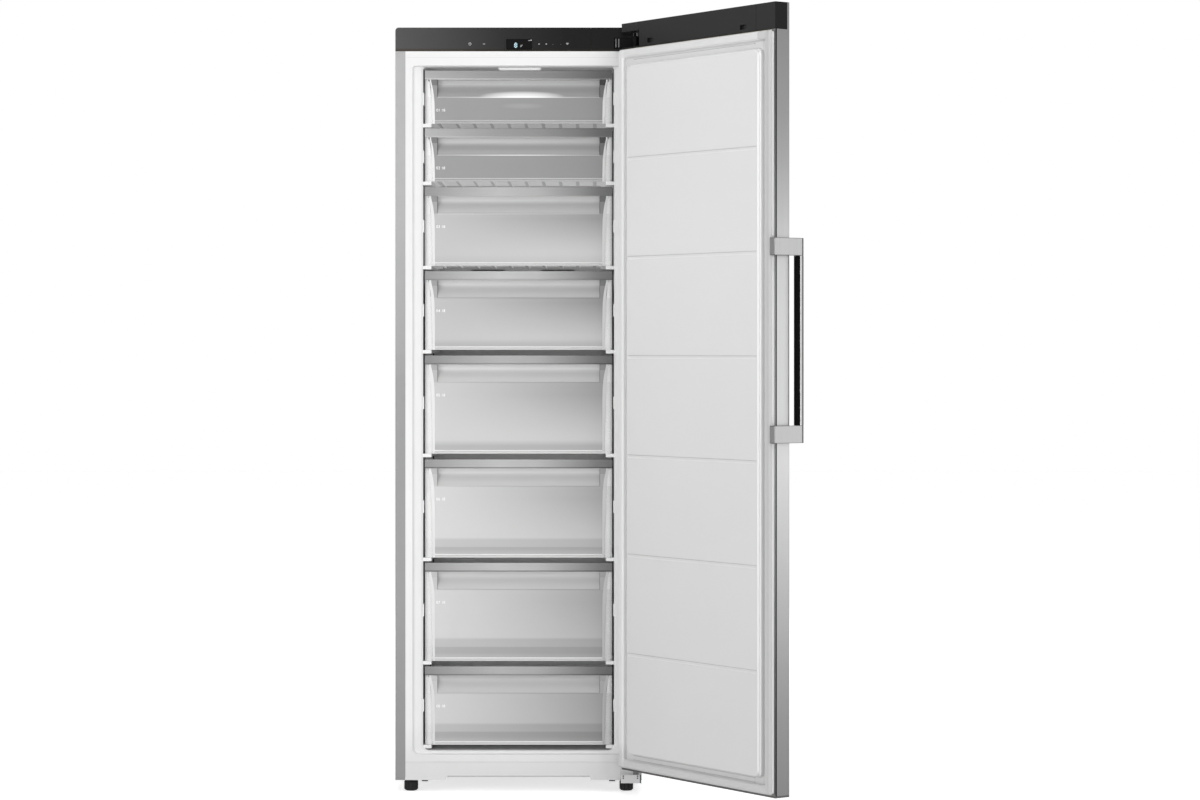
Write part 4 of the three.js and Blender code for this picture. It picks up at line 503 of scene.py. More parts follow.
# %% The tubs' white
def tub_plastic(number):
    """Thin walls let light through, painted as a glow; painted shade darkens edges, sides and ribs."""
    finish = Finish(f"tub_white_{number}", Coat_Weight=0.05)
    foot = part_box(f"drawer_{number}_tub")[0].z
    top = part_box(f"drawer_{number}_trim")[1].z
    cloud = finish.noise(finish.place(), 4.0)
    x = finish.across("X") - cabinet_x
    y = finish.across("Y")
    z = finish.across("Z")
    side = abs(x)
    left = x < 0
    wing = (side > WING_INNER) * (y < at(0, WING_DEPTH_MM, 0).y)
    upper = wing * (z > top - GRIP_TALL)
    hidden = (side > SIDE_FROM) * (y > at(0, SIDE_FROM_MM, 0).y)
    # Painted shadow on one side of each rib under the floor.
    rib = finish.math("FRACT", (x + RIB_PITCH / 2) * (1 / RIB_PITCH)).between(*RIB_SHARE)
    shadow = rib * (z < foot + RIB_TALL)

    # Painted shade on the wings' outer edges, on the sides beside the liner's walls and on right wings.
    outer = finish.ramp(
        side, *WING_EDGE, [(0.0, 1.0), (0.24, 0.93), (0.5, 0.82), (0.72, 0.62), (0.95, 0.4), (1.0, 0.3)],
    )
    shaded = (1 - wing * (1 - outer)) * (1 - hidden * SIDE_SHADE)
    dim = wing * (x > 0) * max(0.06, 0.062 * number - 0.25)
    base = (cloud * 0.02 + 0.79) * (1 - dim) * (1 - shadow * 0.4)
    finish.set("Base Color", finish.grey(base * shaded))
    finish.set("Roughness", (cloud - 0.5) * 0.1 + 0.3)

    # Painted light: a glow in the wings, more in their upper part, and a weaker one over the rest of the
    # tub.
    left_glow = left * (0.25 if number in SHALLOW else max(0.035, 0.23 - 0.03 * number))
    right_glow = (1 - left) * max(0.1, 0.2 - 0.013 * number)
    wing_glow = wing * (left_glow + right_glow) + upper * (0.12 - left * 0.03)
    deep = INNER_GLOW.get(number, 0.13 - 0.013 * number)
    inner_glow = (1 - wing) * (1 - shadow * 0.6) * deep
    finish.glow(finish.grey((wing_glow + inner_glow) * shaded))
    finish.bump(finish.noise(finish.place(), 420.0), 0.03)
    return finish.material


tub_whites = {number: tub_plastic(number) for number in DRAWERS}
print("tub finishes:", len(tub_whites))

# %% [markdown]
# The clear fronts are milky. Glass would refract and turn noisy, so the sheet is half transparent
# and its own grey paints in the light and shade of the rest: the shading of a scooped grip under
# the trim, a painted highlight on the lip below, and the tub's floor behind it, a band of painted
# shade that climbs from drawer to drawer as the eye looks down into them.

# %% Measures of the clear fronts
GRIP_HALF = 0.1965
GRIP_RIM = (0.1953, 0.197)
GRIP_CORNER = 0.036
GRIP_TOP = 0.026
BEAD = (0.0667, 0.0642)
LIP_TALL = 0.0085
LIP_HALF = 0.2035
LIP_LINE = (0.0045, 0.0056)
FLOOR_STEPS = {6: (0.0375, 0.017), 7: (0.046, 0.0254), 8: (0.0424, 0.023)}
FIRST_BLUR = 0.003
SECOND_BLUR = 0.0012
NEAR_BAND = 0.012
MILKY_HEIGHTS = (0.115, 0.0265)
MILKY_EDGE = [
    (0.0, 0.2028), (0.43, 0.2037), (0.59, 0.205), (0.76, 0.207), (0.92, 0.2102), (1.0, 0.2118),
]
WING_SHOWS_TO = [(0.0, 0.2073), (0.7, 0.2121), (1.0, 0.2201)]
WAIST = [(0.0, 0.8), (0.15, 0.82), (0.4, 1.0), (0.55, 0.95), (0.65, 0.7), (0.82, 0.0), (1.0, 0.0)]
print("a grip is", round(2 * GRIP_HALF, 3), "m wide")


# %% The flat part of a clear front
def face_level(finish, number, z, low, high, rightward):
    """Painted light of the flat sheet, falling to the right, and painted shade of the floor behind."""
    shallow = number in SHALLOW
    downward = finish.ramp(z, low.z, high.z, [(0.0, 1.0), (1.0, 0.0)])
    brightest = 0.39 if shallow else min(0.8, 0.45 + 0.055 * number)
    fall = 0.06 if shallow else min(0.38, 0.16 + 0.04 * number)
    even = 0.0 if shallow else 1.9 - 0.22 * number
    evenness = finish.ramp(downward, 0.4, 0.82, [(0.0, 0.0), (1.0, 1.0)]) * even
    face = brightest - rightward * (1 - evenness) * fall
    if number not in FLOOR_STEPS:
        floor_part = finish.ramp(downward, 0.86, 0.92, [(0.0, 0.0), (1.0, 1.0)])
        return face * (1 - floor_part * max(0.0, 0.1 * number - 0.22))
    # Behind the low fronts the floor's painted shade starts with one step and goes on with another,
    # and painted light rises near the lip.
    lip_top = low.z + LIP_TALL
    fading = [(0.0, 1.0), (1.0, 0.0)]
    first, second = (lip_top + height for height in FLOOR_STEPS[number])
    first_part = finish.ramp(z, first - FIRST_BLUR, first + FIRST_BLUR, fading)
    second_part = finish.ramp(z, second - SECOND_BLUR, second + SECOND_BLUR, fading)
    near = finish.ramp(z, lip_top, lip_top + NEAR_BAND, [(0.0, 0.12), (1.0, 0.0)])
    return face * (1 - first_part * 0.2 - second_part * 0.15 + near)


print("flat part ready")

# %% [markdown]
# The ceiling lamp shines through the first grip as a flat bright oval, with a faint patch under
# it. A real lamp there would light the whole cabinet unevenly, so the glow belongs to the front.

# %% The lamp's glow
GLOW_FOOT = 1.6797
GLOW_HALF = (0.105, 0.014)
PATCH_HALF = (0.055, 0.008)


def oval(finish, x, z, middle, half_size):
    """One in the middle of an oval, and falling to nothing at its rim."""
    across = (x - middle.x) * (1 / half_size[0])
    up = (z - middle.z) * (1 / half_size[1])
    return finish.clamp01(1 - (across * across + up * up))


def lamp_glow(finish, x, z):
    """A bright oval that ends at the grip's lower edge, and a faint patch below it."""
    bright = oval(finish, x, z, at(8, 0, 1681.5), GLOW_HALF) * (z > GLOW_FOOT)
    patch = oval(finish, x, z, at(10, 0, 1658.5), PATCH_HALF)
    return finish.grey(bright * 0.62 + patch * 0.06)


print("lamp glow ready")

# %% [markdown]
# Now the whole front is put together, from the flat part outwards: the grip with the painted shade
# of its waist and the bead under it, painted bright on the three upper drawers and a little darker
# on the others, the strips beside the grip with painted shade in their top corner and a dark line
# along the grip's ends, the lip with a painted dark line and a painted highlight, and last the
# fringe where the tub's wings shine through and look a little wider than they are. The grip, the
# strips and the fringe dim to the right as painted shade.


# %% The clear fronts
def clear_front(number):
    """The milky front of one drawer, with painted light and shade on its grip, lip and side strips."""
    finish = Finish(f"clear_front_{number}", Specular_IOR_Level=0.3)
    shallow = number in SHALLOW
    low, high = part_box(f"drawer_{number}_window")
    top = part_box(f"drawer_{number}_trim")[1].z
    x = finish.across("X")
    z = finish.across("Z")
    side = abs(x - cabinet_x)
    rightward = finish.ramp(x, left_end, right_end, [(0.0, 0.0), (1.0, 1.0)])
    in_grip = z > top - GRIP_TALL
    level = face_level(finish, number, z, low, high, rightward)

    # The grip's waist gets painted shade; the bead gets painted light on the upper drawers.
    waist_depth = 0.5 if shallow else 0.56 - 0.055 * number
    waist = finish.ramp(z, top - GRIP_TALL, top - GRIP_TOP, WAIST) * waist_depth
    grip_tone = (0.88 - 0.045 * abs(number - 5) - rightward * 0.09) * (1 - waist)
    level = level + in_grip * (side < GRIP_HALF) * (grip_tone - level)
    bead = z.between(top - BEAD[0], top - BEAD[1]) * (side < GRIP_HALF)
    if shallow:
        level = level + bead * finish.ramp(side, 0.0, 0.2, [(0.0, 0.6), (0.3, 0.5), (0.8, 0.2), (1.0, 0.2)])
    else:
        level = level + bead * (0.12 if number == 3 else -0.06)

    # Painted shade beside the grip, in its top corner and along the grip's ends.
    beside = in_grip * (side > GRIP_HALF)
    beside_level = (0.34 if shallow else 0.3 + 0.04 * number) - rightward * 0.18
    corner = beside * (z > top - GRIP_CORNER) * (0.13 - 0.01 * number)
    level = level + beside * (beside_level - level) - corner
    level = level - side.between(*GRIP_RIM) * in_grip * 0.2

    # The lip gets a painted dark line and a painted highlight along its top.
    lip = (z < low.z + LIP_TALL) * (side < LIP_HALF)
    lip_line = z.between(low.z + LIP_LINE[0], low.z + LIP_LINE[1])
    lip_top = z.between(low.z + LIP_LINE[1], low.z + LIP_TALL)
    level = level + lip * ((0.42 if shallow else 0.56) - level)
    level = level - lip_line * 0.25 + lip_top * (0.12 if shallow else 0.22)

    # The fringe shows the wings through the sheet, dimmed to the right as painted shade.
    edge = finish.ramp(z, top - MILKY_HEIGHTS[0], top - MILKY_HEIGHTS[1], MILKY_EDGE)
    fringe = (side > edge) * (side < finish.ramp(z, low.z, high.z, WING_SHOWS_TO))
    fringe_level = (0.84 - 0.016 * number) - rightward * (0.02 + 0.03 * number)
    level = level + fringe * (fringe_level - level)
    finish.set("Base Color", finish.grey(finish.clamp01(level)))
    milk = (side < edge) * (0.55 + beside * 0.2) + lip * 0.6 + fringe * 0.85 + 0.12
    finish.set("Alpha", finish.clamp01(milk))
    cloud = finish.noise(finish.place((1, 1, 3)), 2.0)
    finish.set("Roughness", (cloud - 0.5) * 0.08 + 0.22)
    if number == 1:
        finish.glow(lamp_glow(finish, x, z))
    return finish.material


clear_fronts = {number: clear_front(number) for number in DRAWERS}
print("clear fronts:", len(clear_fronts))

# %% [markdown]
# ## The white door and cabinet
#
# The door's liner is vacuum-formed sheet with six cross grooves in its raised middle. The soft
# lamps leave the grooves flat, so the far corner of each gets a thin line of shade and the near
# one a thin line of light. A fraction of the height repeats the pair at each groove.

# %% Measures of the grooves
FIRST_GROOVE = 0.3422
LAST_GROOVE = 1.5237
GROOVE_PITCH = (LAST_GROOVE - FIRST_GROOVE) / 5
GROOVE_REACH = 0.1
GROOVE_SHADE = (0.0022, 0.0042)
GROOVE_LIGHT = (-0.004, -0.0026)
PLUG_HALF_MM = 250
print("a groove every", round(GROOVE_PITCH, 4), "m")


# %% The door's white
def door_sheet():
    """The door's liner: painted shade and light at the grooves, and more painted light and shade."""
    finish = Finish("door_white", Coat_Weight=0.05)
    cloud = finish.noise(finish.place(), 4.0)
    x = finish.across("X", TURN_BACK)
    y = finish.across("Y", TURN_BACK)
    z = finish.across("Z")
    plug_ends = (door_at(-PLUG_HALF_MM, 0).x, door_at(PLUG_HALF_MM, 0).x)
    steps = (z - FIRST_GROOVE) * (1 / GROOVE_PITCH) + 0.5
    offset = (finish.math("FRACT", steps) - 0.5) * GROOVE_PITCH
    plug = x.between(*plug_ends) * z.between(FIRST_GROOVE - GROOVE_REACH, LAST_GROOVE + GROOVE_REACH)
    dark = offset.between(*GROOVE_SHADE) * plug
    light = offset.between(*GROOVE_LIGHT) * plug
    # Painted highlight and glow on the crest of the free-side wall, painted shade at its foot.
    free_wall = x < door_at(-253.2, 0).x
    crest = free_wall * (y > door_at(0, -6).y)
    foot = free_wall * (y < door_at(0, -9.5).y)
    # Painted shade: a little darker towards the free side, and darker towards the bottom.
    outward = finish.ramp(x, *plug_ends, [(0.0, 0.96), (1.0, 1.0)])
    upward = finish.ramp(z, *DOOR_HEIGHTS, [(0.0, 0.86), (0.35, 0.92), (0.7, 0.99), (1.0, 1.0)])
    level = (cloud * 0.02 + 0.82) * outward * upward
    level = level * (1 - dark * 0.26 + light * 0.1 + crest * 0.16 - foot * 0.14)
    finish.set("Base Color", finish.grey(level))
    finish.glow(finish.grey(crest * 0.05))
    finish.set("Roughness", (cloud - 0.5) * 0.1 + 0.4)
    finish.bump(finish.noise(finish.place(), 260.0), 0.03)
    return finish.material


door_white = door_sheet()
print("made", door_white.name)

# %% [markdown]
# The magnetic seal is soft white rubber. On the free side its round bulb turns away from the light
# and gets painted shade while its foot gets a painted highlight, and it gets painted shade towards
# the floor, so one ramp runs inwards and one downwards, and the darker of the two counts. Its slope
# on the hinge side has a faint painted glow.


# %% The seal
def seal_rubber():
    """The magnetic seal: painted shade on its bulb and low down, painted light on its foot."""
    finish = Finish("gasket_grey", Coat_Weight=0.05)
    skin = finish.noise(finish.place(), 260.0)
    x = finish.across("X", TURN_BACK)
    free_side = x < door_at(-PLUG_HALF_MM, 0).x
    # Painted shade on the bulb and towards the floor, painted highlights on the foot and hinge slope.
    inwards = finish.ramp(
        x, door_at(-296, 0).x, door_at(-272, 0).x, [(0.0, 0.65), (0.3, 0.65), (0.46, 0.72), (1.0, 0.8)],
    )
    foot = (x < door_at(-286, 0).x) * (finish.across("Y", TURN_BACK) < door_at(0, -8).y)
    hinge_slope = x.between(door_at(270, 0).x, door_at(279, 0).x)
    downward = finish.ramp(finish.across("Z"), 0.06, 0.13, [(0.0, 0.76), (0.6, 0.8), (1.0, 1.0)])
    shaded = finish.math("MINIMUM", 1 - free_side * (1 - inwards), downward)
    finish.set("Base Color", finish.grey((skin * 0.03 + 0.77) * shaded * (1 + foot * 0.5)))
    finish.glow(finish.grey(hinge_slope * 0.05))
    finish.set("Roughness", (skin - 0.5) * 0.1 + 0.6)
    finish.bump(skin, 0.05)
    return finish.material


gasket_grey = seal_rubber()
print("made", gasket_grey.name)

# %% [markdown]
# The cabinet's liner is the same white sheet. Beside the drawers only a narrow gap lets light in.
# Rendered light alone leaves it too bright, so the walls there get painted shade a little way in,
# the back corners there are painted nearly black, and the lowest strip is painted a little darker.

# %% Measures of the liner
WALL_FROM = 0.2302
WALL_CORNER = 0.2266
GAP_FRONT_MM = 17
GAP_BACK_MM = 150
print("walls from", WALL_FROM, "m beside the middle")


# %% The cabinet's white
def liner_sheet():
    """The white sheet, with painted shade beside the drawers, in the back corners and low down."""
    finish = Finish("liner_white", Coat_Weight=0.05)
    cloud = finish.noise(finish.place(), 4.0)
    beside = abs(finish.across("X") - cabinet_x)
    y = finish.across("Y")
    gap_front = at(0, GAP_FRONT_MM, 0).y
    gap_back = at(0, GAP_BACK_MM, 0).y
    # Painted shade: dim walls beside the drawers, nearly black back corners, a darker lowest strip.
    corner = beside.between(WALL_CORNER, WALL_FROM) * (y > gap_back)
    depth = finish.ramp(y, gap_front, gap_back, [(0.0, 0.0), (0.03, 0.92), (0.7, 0.85), (1.0, 0.0)])
    low_part = finish.ramp(finish.across("Z"), 0.075, 0.16, [(0.0, 0.88), (1.0, 1.0)])
    level = (cloud * 0.02 + 0.79) * (1 - (beside > WALL_FROM) * depth) * (1 - corner * 0.95) * low_part
    finish.set("Roughness", (cloud - 0.5) * 0.1 + 0.36)
    finish.set("Base Color", finish.grey(level))
    finish.bump(finish.noise(finish.place(), 260.0), 0.03)
    return finish.material


liner_white = liner_sheet()
print("made", liner_white.name)

# %% [markdown]
# ## Black parts and the lamp
#
# The upper hinge is black steel whose rounded corner gets two painted upright lines of light, and
# the door's top cap gets painted shade on its free side. The fascia is glossy, with a painted sheen
# at its left end and a brownish lower edge. The lamp's lens is ribbed and glows faintly.

# %% Hinge and cap
ARM_LINES = ((234.7, 236.3), (241.6, 243.4))
ARM_HEIGHTS = (1.7975, 1.819)


def hinge_paint():
    """Black steel; two painted upright lines of light stand on the rounded corner of the arm's root."""
    finish = Finish("hinge_black", Specular_IOR_Level=0.06)
    skin = finish.noise(finish.place(), 700.0, 3.0, 0.6)
    x = finish.across("X")
    first, second = (x.between(at(start, 0, 0).x, at(end, 0, 0).x) for start, end in ARM_LINES)
    on_the_root = finish.across("Z").between(*ARM_HEIGHTS) * (finish.across("Y") < at(0, -5, 0).y)
    # Two painted upright lines of light on the arm's rounded corner.
    lit = (first + second) * on_the_root
    finish.set("Base Color", finish.grey(skin * 0.002 + 0.005 + lit * 0.3))
    finish.set("Roughness", (skin - 0.5) * 0.12 + 0.45)
    finish.bump(skin, 0.08, 0.0001)
    return finish.material


def cap_plastic():
    """The door's top cap: its free side gets painted shade, darker than its inner face."""
    finish = Finish("cap_black", Specular_IOR_Level=0.16)
    skin = finish.noise(finish.place(), 700.0, 3.0, 0.6)
    # Painted shade on the cap's free side.
    free_side = finish.across("X", TURN_BACK) < door_at(-295.6, 0).x
    finish.set("Base Color", finish.grey((skin * 0.004 + 0.014) * (1 - free_side * 0.65)))
    finish.set("Roughness", (skin - 0.5) * 0.12 + 0.34)
    finish.bump(skin, 0.08, 0.0001)
    return finish.material


hinge_black = hinge_paint()
cap_black = cap_plastic()
print("made", hinge_black.name, "and", cap_black.name)


# %% Fascia and lamp
def panel_black():
    """The glossy fascia: a painted sheen lightens its left end, and its lower edge is brownish."""
    finish = Finish("panel_black", Specular_IOR_Level=0.16)
    # A painted sheen, brightest at the fascia's left end.
    level = finish.ramp(
        finish.across("X"), at(-297, 0, 0).x, at(297, 0, 0).x,
        [(0.0, 0.08), (0.2, 0.055), (0.44, 0.021), (0.7, 0.006), (1.0, 0.004)],
    )
    skin = finish.noise(finish.place(), 3.0)
    edge = finish.ramp(finish.across("Z"), 1.79, 1.797, [(0.0, 1.0), (0.6, 0.8), (1.0, 0.0)])
    colours = {0: edge, 6: finish.grey(level), 7: finish.grey(level * 0.55 + 0.006, 0.22)}
    finish.set("Base Color", finish.node("ShaderNodeMix", {"data_type": "RGBA"}, colours, 2))
    finish.set("Roughness", (skin - 0.5) * 0.06 + 0.22)
    return finish.material


def lamp_plastic():
    finish = Finish("lamp_clear", Coat_Weight=0.1)
    ribs = finish.noise(finish.place((400, 1, 1)), 1.0)
    finish.set("Base Color", finish.tint(ribs, shade(0.84), shade(0.9)))
    finish.set("Roughness", (ribs - 0.5) * 0.1 + 0.25)
    finish.glow(finish.tint(ribs, shade(0.32), shade(0.4)))
    return finish.material


gloss_black = panel_black()
lamp_clear = lamp_plastic()
print("made", gloss_black.name, "and", lamp_clear.name)

# %% [markdown]
# ## Hidden materials
#
# Foam, circuit board and copper pipe are rarely seen, so one noise each is enough to tell them
# from plastic: cells in the foam, tracks on the board and stains on the copper.


# %% Foam, board and copper
def mottled(name, pattern, colours, rough, swing, relief=0.0, **constants):
    """A colour that wanders between two, with a roughness that wanders as well.

    The pattern is a noise's scale, detail and roughness.
    """
    finish = Finish(name, **constants)
    spots = finish.noise(finish.place(), *pattern)
    finish.set("Base Color", finish.tint(spots, *colours))
    finish.set("Roughness", (spots - 0.5) * swing + rough)
    if relief:
        finish.bump(spots, relief, 0.0005)
    return finish.material


foam_yellow = mottled(
    "foam_yellow", (900.0, 3.0, 0.6), ((0.62, 0.5, 0.22), (0.72, 0.6, 0.32)), 0.88, 0.1, relief=0.4,
)
board_green = mottled(
    "board_green", (260.0, 1.0, 0.4), ((0.02, 0.1, 0.045), (0.04, 0.16, 0.07)), 0.4, 0.2,
    Coat_Weight=0.3,
)
copper = mottled(
    "copper", (60.0, 4.0, 0.6), ((0.5, 0.2, 0.1), (0.72, 0.34, 0.19)), 0.35, 0.25, Metallic=1.0,
)
print("materials:", len(bpy.data.materials))

# %% [markdown]
# ## Each part gets its finish
#
# A part from the frame keeps its mesh, and its finish goes into its material slots. A table says
# which part gets which, and the drawers are added to it in a loop.

# %% Dress the parts
DRESS = {
    "outer_casing": casing_paint_and_sheen,
    "back_panel": zinc,
    "inner_liner": liner_white,
    "foam_core": foam_yellow,
    "bottom_rail": rail_white,
    "base_plate": base_steel,
    "chamber_bulkhead": zinc,
    "compressor_tray": zinc,
    "compressor": compressor_black,
    "drip_tray": tray_white,
    "discharge_pipe": copper,
    "control_panel": gloss_black,
    "display_window": display_black,
    "control_board": board_green,
    "hinge_cover": gloss_black,
    "top_hinge_bracket": hinge_black,
    "bottom_hinge_bracket": lower_hinge,
    "lamp_lens": lamp_clear,
    "evaporator_cover": cover_white,
    "evaporator": fin_metal,
    "fan_motor": motor_black,
    "fan_rotor": motor_black,
    "front_foot_left": foot_black,
    "front_foot_right": foot_black,
    "rear_roller_left": foot_black,
    "rear_roller_right": foot_black,
    "door_skin": door_metal,
    "door_liner": door_white,
    "door_foam": foam_yellow,
    "door_top_cap": cap_black,
    "door_bottom_cap": lower_cap_grey,
    "door_gasket": gasket_grey,
    "handle_block_upper": block_metal,
    "handle_block_lower": block_metal,
    "handle_bar": handle_metal,
    "handle_insert": insert_black,
}
for number in DRAWERS:
    DRESS[f"drawer_{number}_tub"] = tub_whites[number]
    DRESS[f"drawer_{number}_window"] = clear_fronts[number]
    DRESS[f"drawer_{number}_trim"] = upper_trim if number in SHALLOW else lower_trim

for name, material in DRESS.items():
    mesh = nodes[name].data
    mesh.materials.clear()
    mesh.materials.append(material)
print("dressed", len(DRESS), "parts")

# %% [markdown]
# ## Small pieces
#
# Signs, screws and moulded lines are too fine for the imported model, so they are made here. Each
# one is set in place, its place goes into its mesh, and it rides on the body it belongs to. Door
# pieces are set on the closed door and then turned with it.

# %% Helpers for small pieces
FACING_FRONT = (math.radians(90), 0, 0)
FACING_BACK = (math.radians(-90), 0, 0)
CABINET = "cabinet"
DOOR = "door"
EDGE_SHARE = 0.24


def settle(name, material, body, turned=None):
    """Name the active object, put its place into its mesh and let it ride on a body."""
    piece = bpy.context.active_object
    piece.name = name
    if turned:
        piece.matrix_world = turned @ piece.matrix_world
    bpy.ops.object.transform_apply(location=True, rotation=True, scale=True)
    piece.data.materials.clear()
    piece.data.materials.append(material)
    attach(piece, body)


def bevel_all(width):
    """Round every edge of the active object."""
    bpy.ops.object.mode_set(mode="EDIT")
    bpy.ops.mesh.select_all(action="SELECT")
    bpy.ops.mesh.bevel(offset=width * MM, segments=2, affect="EDGES")
    bpy.ops.object.mode_set(mode="OBJECT")


def bar(place, size):
    """A small block with rounded edges and its middle at a place; sizes are millimetres."""
    bpy.ops.object.select_all(action="DESELECT")
    bpy.ops.mesh.primitive_cube_add(size=1, location=place)
    made = bpy.context.active_object
    made.scale = [length * MM for length in size]
    bpy.ops.object.transform_apply(location=False, rotation=False, scale=True)
    bevel_all(min(size) * EDGE_SHARE)
    return made


def disc(place, radius, depth, vertices, rotation=FACING_FRONT):
    bpy.ops.object.select_all(action="DESELECT")
    bpy.ops.mesh.primitive_cylinder_add(
        vertices=vertices, radius=radius * MM, depth=depth * MM, location=place, rotation=rotation,
    )
    return bpy.context.active_object


def joined(parts):
    """Several small objects become one, which stays active."""
    bpy.ops.object.select_all(action="DESELECT")
    for part in parts:
        part.select_set(True)
    bpy.context.view_layer.objects.active = parts[0]
    bpy.ops.object.join()
    return parts[0]


print("helpers for small pieces ready")

# %% [markdown]
# The signs are printed and the screws are zinc or black. They use the plain finishes again, and
# only the lit digit has one of its own: a pale bluish light.

# %% Finishes for small pieces
sign_white = sheet_plastic("sign_white", 0.62, rough=0.5)
number_white = sheet_plastic("number_white", 0.95, rough=0.5)
sign_faint = sheet_plastic("sign_faint", 0.07, rough=0.5)
screw_dark = painted_steel("screw_dark", 0.05, rough=0.35, metallic=0.5)
screw_zinc = galvanised("screw_zinc", 0.42)
line_grey = sheet_plastic("line_grey", 0.46, rough=0.6)
line_faint = sheet_plastic("line_faint", 0.68, rough=0.6)


def lit_finish():
    finish = Finish("display_light", Roughness=0.4)
    where = finish.noise(finish.place(), 300.0)
    finish.set("Base Color", finish.tint(where, (0.2, 0.3, 0.33), (0.26, 0.36, 0.4)))
    finish.glow(finish.tint(where, (0.5, 0.76, 0.84), (0.62, 0.88, 0.95)), 0.85)
    return finish.material


display_light = lit_finish()
print("finishes for small pieces ready")

# %% [markdown]
# The signs lie on the glass like a thin film. A few plain strokes stand for them: a ring with a
# gap for the switch, a minus, two arrows and a fan of signal bars.

# %% Shapes of the signs
PRINT = 0.12
GLASS = -PRINT / 2
ON_DISPLAY = GLASS - 0.05
SIGN_Z = 1807.2
RING_RADIUS = 2.9
RING_STROKE = 0.38
PRINT_BEVEL = 0.03


def switch_sign(x, z):
    bpy.ops.object.select_all(action="DESELECT")
    bpy.ops.mesh.primitive_torus_add(
        location=at(x, GLASS, z), rotation=FACING_FRONT, major_segments=24, minor_segments=6,
        major_radius=RING_RADIUS * MM, minor_radius=RING_STROKE * MM,
    )
    ring = bpy.context.active_object
    ring.scale = (1, 1, PRINT / (2 * RING_STROKE))
    return joined([ring, bar(at(x, GLASS * 2, z + 2.2), (0.8, PRINT, 3.4))])


def arrow_sign(x, z, way):
    arrow = disc(at(x, GLASS, z), 2.6, PRINT, 3)
    bevel_all(PRINT_BEVEL)
    arrow.scale = (1, 0.6 * way, 1)
    return arrow


def signal_sign(x, z):
    """A fan of three bars, each wider than the one below."""
    rows = [(1.2, -2.4, 1.0), (3.6, -0.6, 0.9), (6.6, 1.2, 0.9)]
    return joined([bar(at(x, GLASS, z + rise), (width, PRINT, tall)) for width, rise, tall in rows])


print("print is", PRINT, "mm thick")

# %% Signs on the panel
signs = [
    switch_sign(-117.1, SIGN_Z),
    bar(at(-83.2, GLASS, SIGN_Z), (5.4, PRINT, 0.9)),
    arrow_sign(50.0, SIGN_Z, -1),
    arrow_sign(67.1, SIGN_Z, 1),
    signal_sign(118.3, SIGN_Z + 0.6),
    bar(at(8.2, ON_DISPLAY, 1804.4), (4.0, PRINT, 1.0)),
    bar(at(6.0, ON_DISPLAY, 1801.6), (1.6, PRINT, 3.4)),
    bar(at(25.6, ON_DISPLAY, 1815.6), (2.6, PRINT, 1.4)),
    bar(at(30.6, ON_DISPLAY, 1816.4), (2.6, PRINT, 2.2)),
]
joined(signs)
settle("panel_signs", sign_white, CABINET)

faint = []
for x in (83.5, 102.1):
    faint.append(disc(at(x, GLASS, SIGN_Z - 1.0), 0.9, PRINT, 12))
    bevel_all(PRINT_BEVEL)
joined(faint)
settle("panel_dots", sign_faint, CABINET)
print("signs joined:", len(signs), "and dots:", len(faint))


# %% The lit digit
def digit_bars(x, z, wide, tall, stroke):
    """Seven strokes of a lit figure, three level and four upright."""
    level = [(x, z + rise, wide - stroke, stroke) for rise in (-tall / 2, 0, tall / 2)]
    upright = [
        (x + side * wide / 2, z + rise, stroke, tall / 2 - stroke)
        for side in (-1, 1) for rise in (-tall / 4, tall / 4)
    ]
    return [bar(at(px, ON_DISPLAY, pz), (w, PRINT, h)) for px, pz, w, h in level + upright]


joined(digit_bars(-6.6, 1804.2, wide=5.2, tall=10.2, stroke=2.2))
settle("display_digit", display_light, CABINET)
print("digit made")

# %% [markdown]
# Each clear front carries a small printed number near its left edge, a hand's breadth below the
# trim. Text gives the strokes at once, and it is made a mesh before its place is applied.

# %% Numbers on the drawers
NUMBER_BELOW_TOP = 99.6
NUMBER_LEFT = -199.5
NUMBER_TALL = 9.6
WINDOW_FRONT = 14.8

for number in DRAWERS:
    place = at(NUMBER_LEFT, WINDOW_FRONT - PRINT, 0)
    place.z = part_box(f"drawer_{number}_trim")[1].z - NUMBER_BELOW_TOP * MM
    bpy.ops.object.select_all(action="DESELECT")
    bpy.ops.object.text_add(location=place, rotation=FACING_FRONT)
    words = bpy.context.active_object
    words.data.body = f"0{number} 18"
    words.data.size = NUMBER_TALL * MM
    words.data.extrude = PRINT * MM / 2
    bpy.ops.object.convert(target="MESH")
    settle(f"drawer_{number}_number", number_white, f"drawer_{number}")
print("numbers made:", len(DRAWERS))

# %% [markdown]
# ## Screws
#
# A screw head is a disc whose top face is inset and pushed in, which leaves the socket for the
# key. The lower hinge's base ends in a low upright skirt with four of them.

# %% A screw head
TOP_FACE = 0.9
SOCKET_INSET = 0.5
SOCKET_DEPTH = 0.6


def screw(name, place, radius, rise, material, body, rotation=FACING_FRONT):
    head = disc(place, radius, rise, 20, (0, 0, 0))
    for face in head.data.polygons:
        face.select = face.normal.z > TOP_FACE
    bpy.ops.object.mode_set(mode="EDIT")
    bpy.ops.mesh.select_mode(type="FACE")
    bpy.ops.mesh.inset(thickness=radius * SOCKET_INSET * MM)
    push = (0, 0, -rise * SOCKET_DEPTH * MM)
    bpy.ops.mesh.extrude_region_move(TRANSFORM_OT_translate={"value": push})
    bpy.ops.object.mode_set(mode="OBJECT")
    head.rotation_euler = rotation
    settle(name, material, body)


print("screw helper ready")

